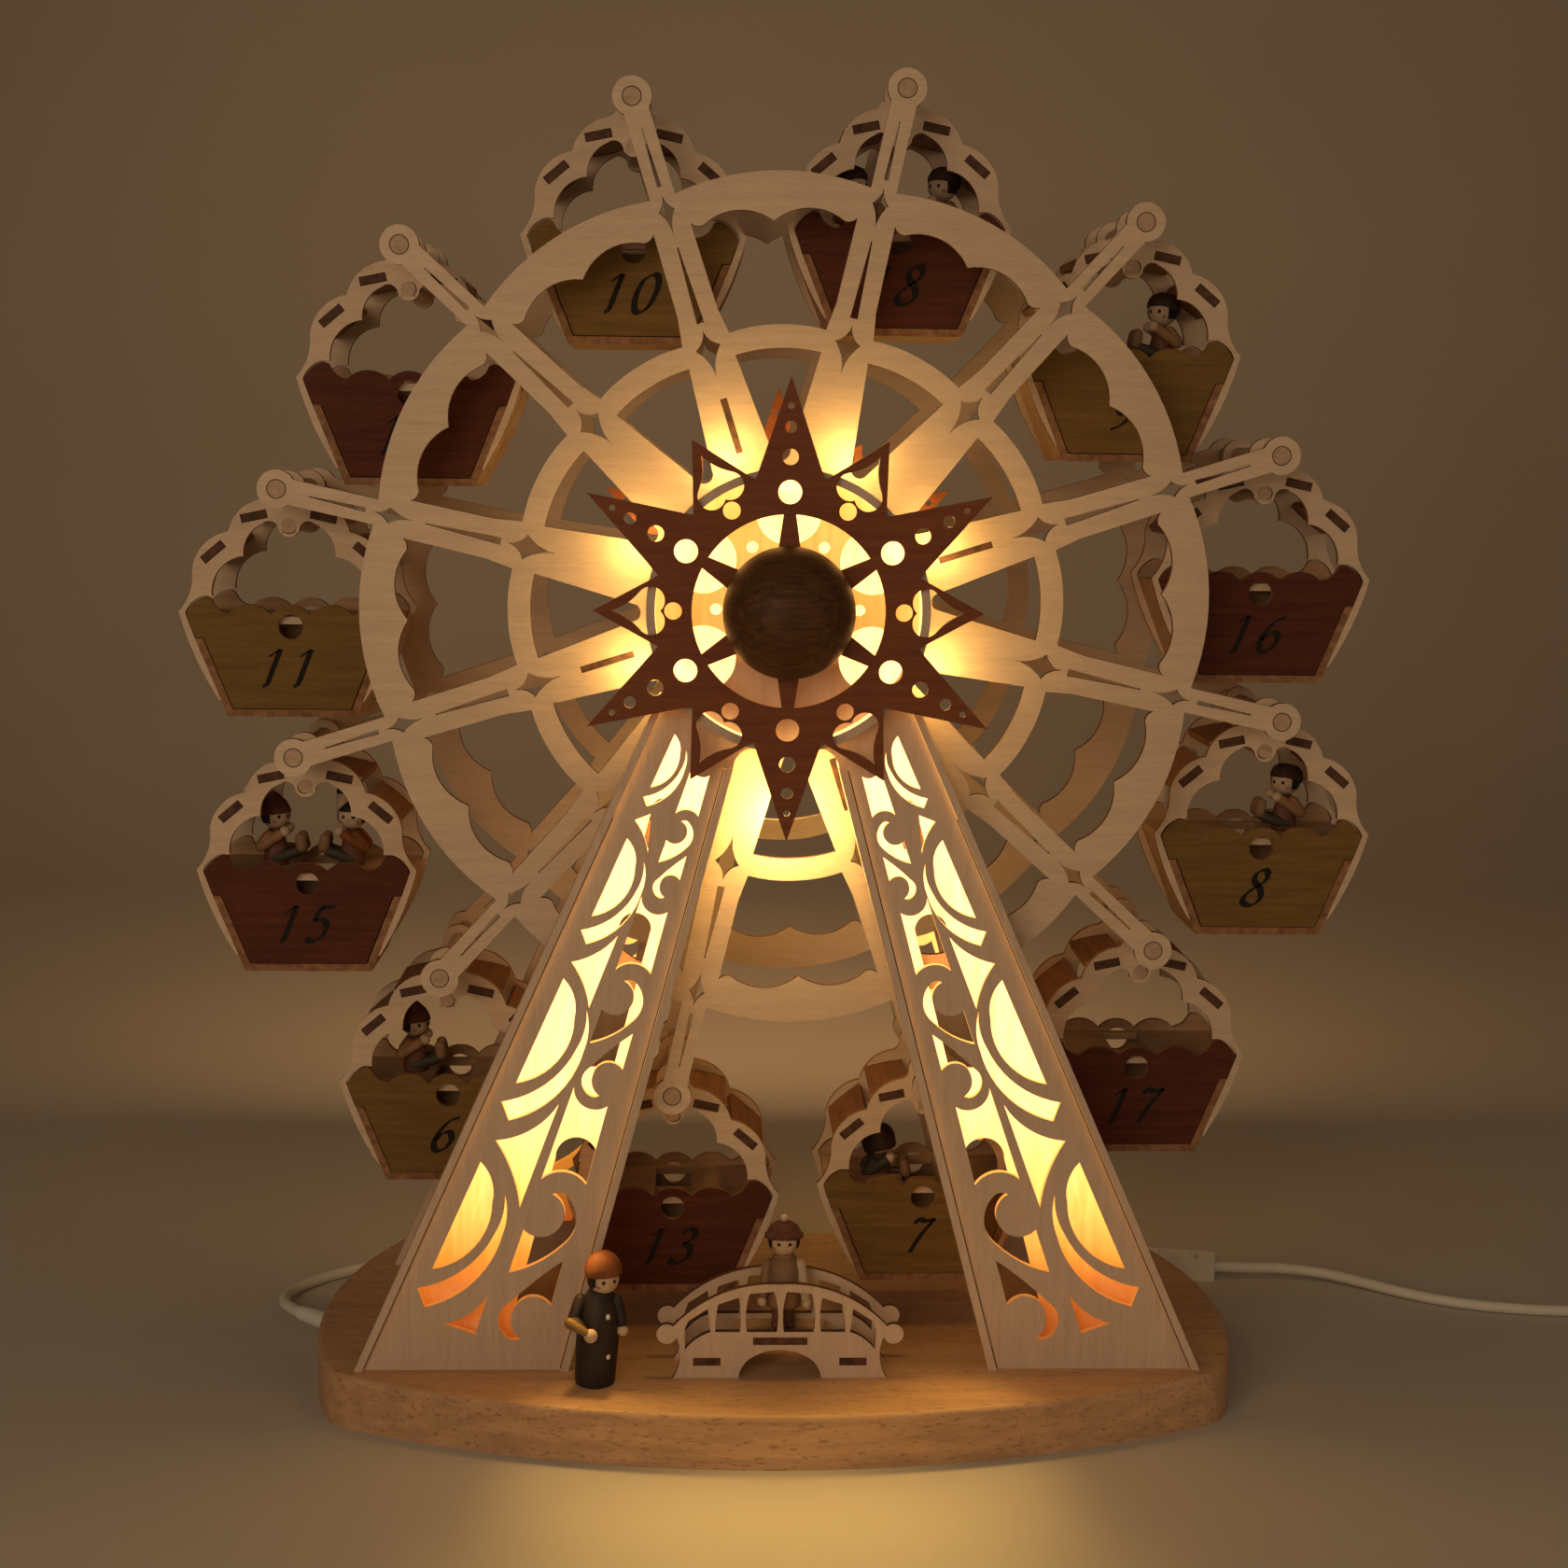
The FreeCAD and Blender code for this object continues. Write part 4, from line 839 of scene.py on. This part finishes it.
def standing_man():
    bm = bmesh.new()
    foot = Vector((-74.6, -80.0, 22.0)) * MM
    on_coat, on_rod, on_button = 4, 5, 6
    coat = [(0, 0), (7.8, 0), (8.1, 1), (8.3, 8), (8.55, 16), (8.4, 24), (7.8, 30), (6.8, 34),
            (5.4, 37.4), (4.0, 39.8), (0, 40.4)]
    shoulder, elbow, wrist = (-5.6, -1.0, 34.6), (-8.2, -5.0, 28.0), (-3.6, -9.6, 24.6)
    lathe(bm, scaled(coat, MM), foot, (0.06, 0, 1), 40, on_coat)
    doll_head(bm, doll_place(foot, 3.6, -0.4, 43.8), 6.5 * MM, "beret", 0.42, back=0.12)
    for start, end, r0, r1, paint in (
            (shoulder, elbow, 2.7, 2.5, on_coat), (elbow, wrist, 2.5, 2.2, on_coat),
            ((8.6, 0.0, 34.4), (11.0, -1.5, 25.4), 2.6, 2.2, on_coat),
            ((-9.4, -9.0, 28.0), (-2.6, -11.4, 24.8), 2.3, 1.5, on_rod)):
        limb(bm, doll_place(foot, *start), doll_place(foot, *end), r0 * MM, r1 * MM, paint)
    for hand, radius in (((-1.0, -10.8, 23.4), 2.8), ((11.2, -2.2, 22.4), 2.3)):
        ball(bm, doll_place(foot, *hand), radius * MM, ON_SKIN)
    for height in (29.6, 13.0):
        ball(bm, doll_place(foot, 5.6, -6.6, height), 0.95 * MM, on_button, 1.3)
    paints = [SKIN, HAIR, CAP_RED, BLUSH, COAT, GOLD, WHITE_CASE]
    item = finish_mesh("standing_man", bm, paints, "stand")
    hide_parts("base_figures")


def child_on_bridge():
    bm = bmesh.new()
    foot = Vector((1.5, -65.3, 22.0 + 17.1)) * MM
    on_coat, on_leg, on_pale_sleeve = 4, 5, 6
    for side in (-1, 1):
        hip, ankle = doll_place(foot, side * 2.3, 0, 12.0), doll_place(foot, side * 2.6, -0.4, 2.0)
        limb(bm, ankle, hip, 2.2 * MM, 2.2 * MM, on_leg)
        ball(bm, doll_place(foot, side * 2.8, -2.0, 1.9), 2.2 * MM, on_leg, 0.8)
    coat = [(0, 9.5), (6.8, 9.6), (7.3, 11), (7.2, 19), (6.6, 25.5), (4.8, 30.0), (0, 31.0)]
    lathe(bm, scaled(coat, MM), foot, segments=32, material=on_coat)
    scarf = [(0, 29.0), (4.0, 29.2), (4.4, 30.4), (3.9, 31.6), (0, 31.8)]
    lathe(bm, scaled(scarf, MM), foot, segments=28, material=on_coat)
    doll_head(bm, doll_place(foot, 0, 0, 37.0), 6.3 * MM, "knitted", pompom=ON_SKIN, back=0.16)
    for side, (x, y, z), sleeve in ((-1, (-8.4, -4.4, 15.0), on_coat),
                                    (1, (9.0, -4.6, 14.0), on_pale_sleeve)):
        shoulder = doll_place(foot, side * 6.6, -0.6, 27.0)
        limb(bm, shoulder, doll_place(foot, x, y, z), 2.3 * MM, 2.0 * MM, sleeve)
        ball(bm, doll_place(foot, x + side * 0.4, y - 0.9, z - 2.2), 2.0 * MM, ON_SKIN)
    paints = [SKIN, HAIR, CAP_RIBBED, BLUSH, CLOTH_BROWN, CLOTH_RED, CLOTH_PALE]
    item = finish_mesh("child", bm, paints, "stand")


def seated(bm, k, x, cap, look, drop, back, shift=0.0):
    """A doll that sits sideways on the deck and looks to the gondola's middle; look turns its face."""
    at = PIVOTS[k]
    s = 1 if x > 0 else -1
    deck, body_tall = -52, 15.3
    on_body, on_sleeve, on_leg, on_shoe = 4, 5, 6, 7

    def place(a, b, c):
        return at + Vector((x + s * a, b, c - drop)) * MM

    body = [(0, 0), (4.9, 0), (5.3, 1.5), (5.0, 7), (4.2, 10.5), (3.0, 13.5), (2.6, 15),
            (0, body_tall)]
    squash = (body_tall - drop) / body_tall
    lathe(bm, [(r * MM, h * squash * MM) for r, h in body], at + Vector((x, 0, deck)) * MM,
          segments=28, material=on_body)
    doll_head(bm, place(0, 0, -31), 6.0 * MM, cap, -s * look, back=back, shift=shift)
    for y in (-1, 1):
        shoulder, elbow = place(2.4, y * 4.2, -39.4), place(5.4, y * 5.2, -43.6)
        limb(bm, shoulder, elbow, 2.5 * MM, 2.5 * MM, on_sleeve)
        limb(bm, elbow, place(-2.6, y * 5.6, -38.4), 2.5 * MM, 2.2 * MM, on_sleeve)
        ball(bm, place(-4.6, y * 5.2, -37.2), 2.3 * MM, ON_SKIN)
        hip, ankle = place(0, y * 3.0, min(-46.5, -49 + drop)), place(-9.4, y * 3.4, -46.0)
        limb(bm, hip, ankle, 2.6 * MM, 2.2 * MM, on_leg)
        toe = place(-11.4, y * 3.6, -44.0)
        limb(bm, toe, toe + Vector((s * 0.6, 0, 3.6)) * MM, 2.5 * MM, 2.3 * MM, on_shoe)


# Gondola, place across it in mm, cap, the cap's and the sleeves' material, how far the doll sinks
RIDERS = ((0, 19.5, "flat", CAP_DARK, CLOTH_TAN, 0.0), (0, -17.5, "flat", CAP_DARK, CLOTH_TAN, 0.0),
          (1, 17.5, "flat", CAP_DARK, CLOTH_TAN, 0.0), (3, 15.5, "flat", CAP_DARK, CLOTH_TAN, 0.0),
          (5, -17.0, "hood", CAP_DARK, CLOTH_GREEN, 7.6),
          (7, -16.5, "pointed", CAP_BROWN, CLOTH_TAN, 0.0),
          (8, -17.0, "pointed", CAP_BROWN, CLOTH_TAN, 0.0), (8, 15.0, "tall", CLOTH_PALE, CAP_RED, 0.0))
TWO_RIDERS = (0, 8)
standing_man()
child_on_bridge()
for k, x, cap, cap_paint, sleeve, drop in RIDERS:
    bm = bmesh.new()
    if cap == "tall":
        seated(bm, k, x, cap, 0.15, drop, -0.05, -0.62)
    else:
        seated(bm, k, x, cap, 0.78, drop, 0.14 if cap == "pointed" else 0.34)
    paints = [SKIN, HAIR, cap_paint, BLUSH, CLOTH_RED, sleeve, CLOTH_GREEN, CLOTH_BROWN]
    name = "rider_%02d_%s" % (k + 1, "right" if x > 0 else "left")
    item = finish_mesh(name, bm, paints, "gondola_%02d" % (k + 1))
    if x > 0 or k not in TWO_RIDERS:
        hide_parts("riders_%02d" % (k + 1))


# Floor, backdrop and light

def floor():
    near, bend, far_up, radius, half_wide = -2.2, 1.1, 3.0, 0.7, 4
    bm = bmesh.new()
    arc = [math.radians(d) for d in range(10, 91, 10)]
    profile = [(near, 0.0), (bend, 0.0)]
    profile += [(bend + radius * math.sin(a), radius - radius * math.cos(a)) for a in arc]
    profile += [(bend + radius, far_up)]
    rows = [[bm.verts.new((x, y, z)) for x in (-half_wide, half_wide)] for y, z in profile]
    ribbon(bm, rows, ((0, 1),))
    mesh = bpy.data.meshes.new("floor")
    bm.to_mesh(mesh)
    bm.free()
    item = add_object("floor", mesh)
    mesh.shade_smooth()
    paint = Paint("floor_paper", 0.7)
    soft = paint.noise(paint.place(), 2.0, 2)
    paint.colour(paint.ramp(soft, (0.3, (0.54, 0.50, 0.44)), (0.7, (0.58, 0.54, 0.48))))
    mesh.materials.append(paint.material)


def add_light(name, kind, place, aim, power, colour):
    light = bpy.data.lights.new(name, kind)
    light.energy = power
    light.color = colour
    item = add_object(name, light)
    item.location = place
    if aim:
        item.rotation_euler = (Vector(aim) - Vector(place)).to_track_quat("-Z", "Y").to_euler()
    item.visible_camera = False
    return light


def area(name, place, aim, size, power, colour):
    light = add_light(name, "AREA", place, aim, power, colour)
    light.shape = "RECTANGLE"
    light.size, light.size_y = size


def spot(name, place, aim, power, colour, angle, soft):
    light = add_light(name, "SPOT", place, aim, power, colour)
    light.spot_size = math.radians(angle)
    light.spot_blend = 1.0
    light.shadow_soft_size = soft


def lamp(name, place, power, radius, colour):
    light = add_light(name, "POINT", place, None, power, colour)
    light.shadow_soft_size = radius


def world():
    bpy.context.scene.view_settings.view_transform = "Standard"
    dim = bpy.data.worlds.new("world")
    bpy.context.scene.world = dim
    dim.use_nodes = True
    background = dim.node_tree.nodes["Background"]
    background.inputs["Color"].default_value = (0.064, 0.045, 0.030, 1)
    background.inputs["Strength"].default_value = 1.0


def room_lights():
    area("key", (-0.55, -1.35, 0.62), (0, 0, 0.28), (1.0, 0.6), 4.9, (1.0, 0.74, 0.48))
    area("fill", (1.0, -1.1, 0.7), (0, 0, 0.25), (0.9, 0.6), 1.5, (1.0, 0.72, 0.46))
    area("glow_behind", (0.0, 0.32, 0.40), (0.0, 1.6, 0.50), (0.5, 0.5), 2.1, (1.0, 0.54, 0.22))
    spot("pool", (0.0, -0.128, 0.17), (0.0, -0.215, 0.0), 0.78, (1.0, 0.62, 0.15), 86, 0.012)
    for side in (-1, 1):
        spot("patch", (side * 0.085, -0.082, 0.10), (side * 0.066, -0.118, 0.022), 0.16,
             (1.0, 0.60, 0.16), 70, 0.006)


def toy_lights():
    """Eight small lamps round each hub, outside the drum, and one in each pair of legs."""
    count, ring, hub_y, leg_y, leg_drop = 8, 0.062, 0.0615, 0.064, 0.085
    for facing in (-1, 1):
        for n in range(count):
            a = math.radians(22.5 + 45 * n)
            place = (ring * math.sin(a), facing * hub_y, HUB + ring * math.cos(a))
            lamp("hub_glow", place, 0.040, 0.008, (1.0, 0.64, 0.18))
        lamp("leg_light", (0, facing * leg_y, HUB - leg_drop), 0.17, 0.012, (1.0, 0.66, 0.20))


floor()
world()
room_lights()
toy_lights()
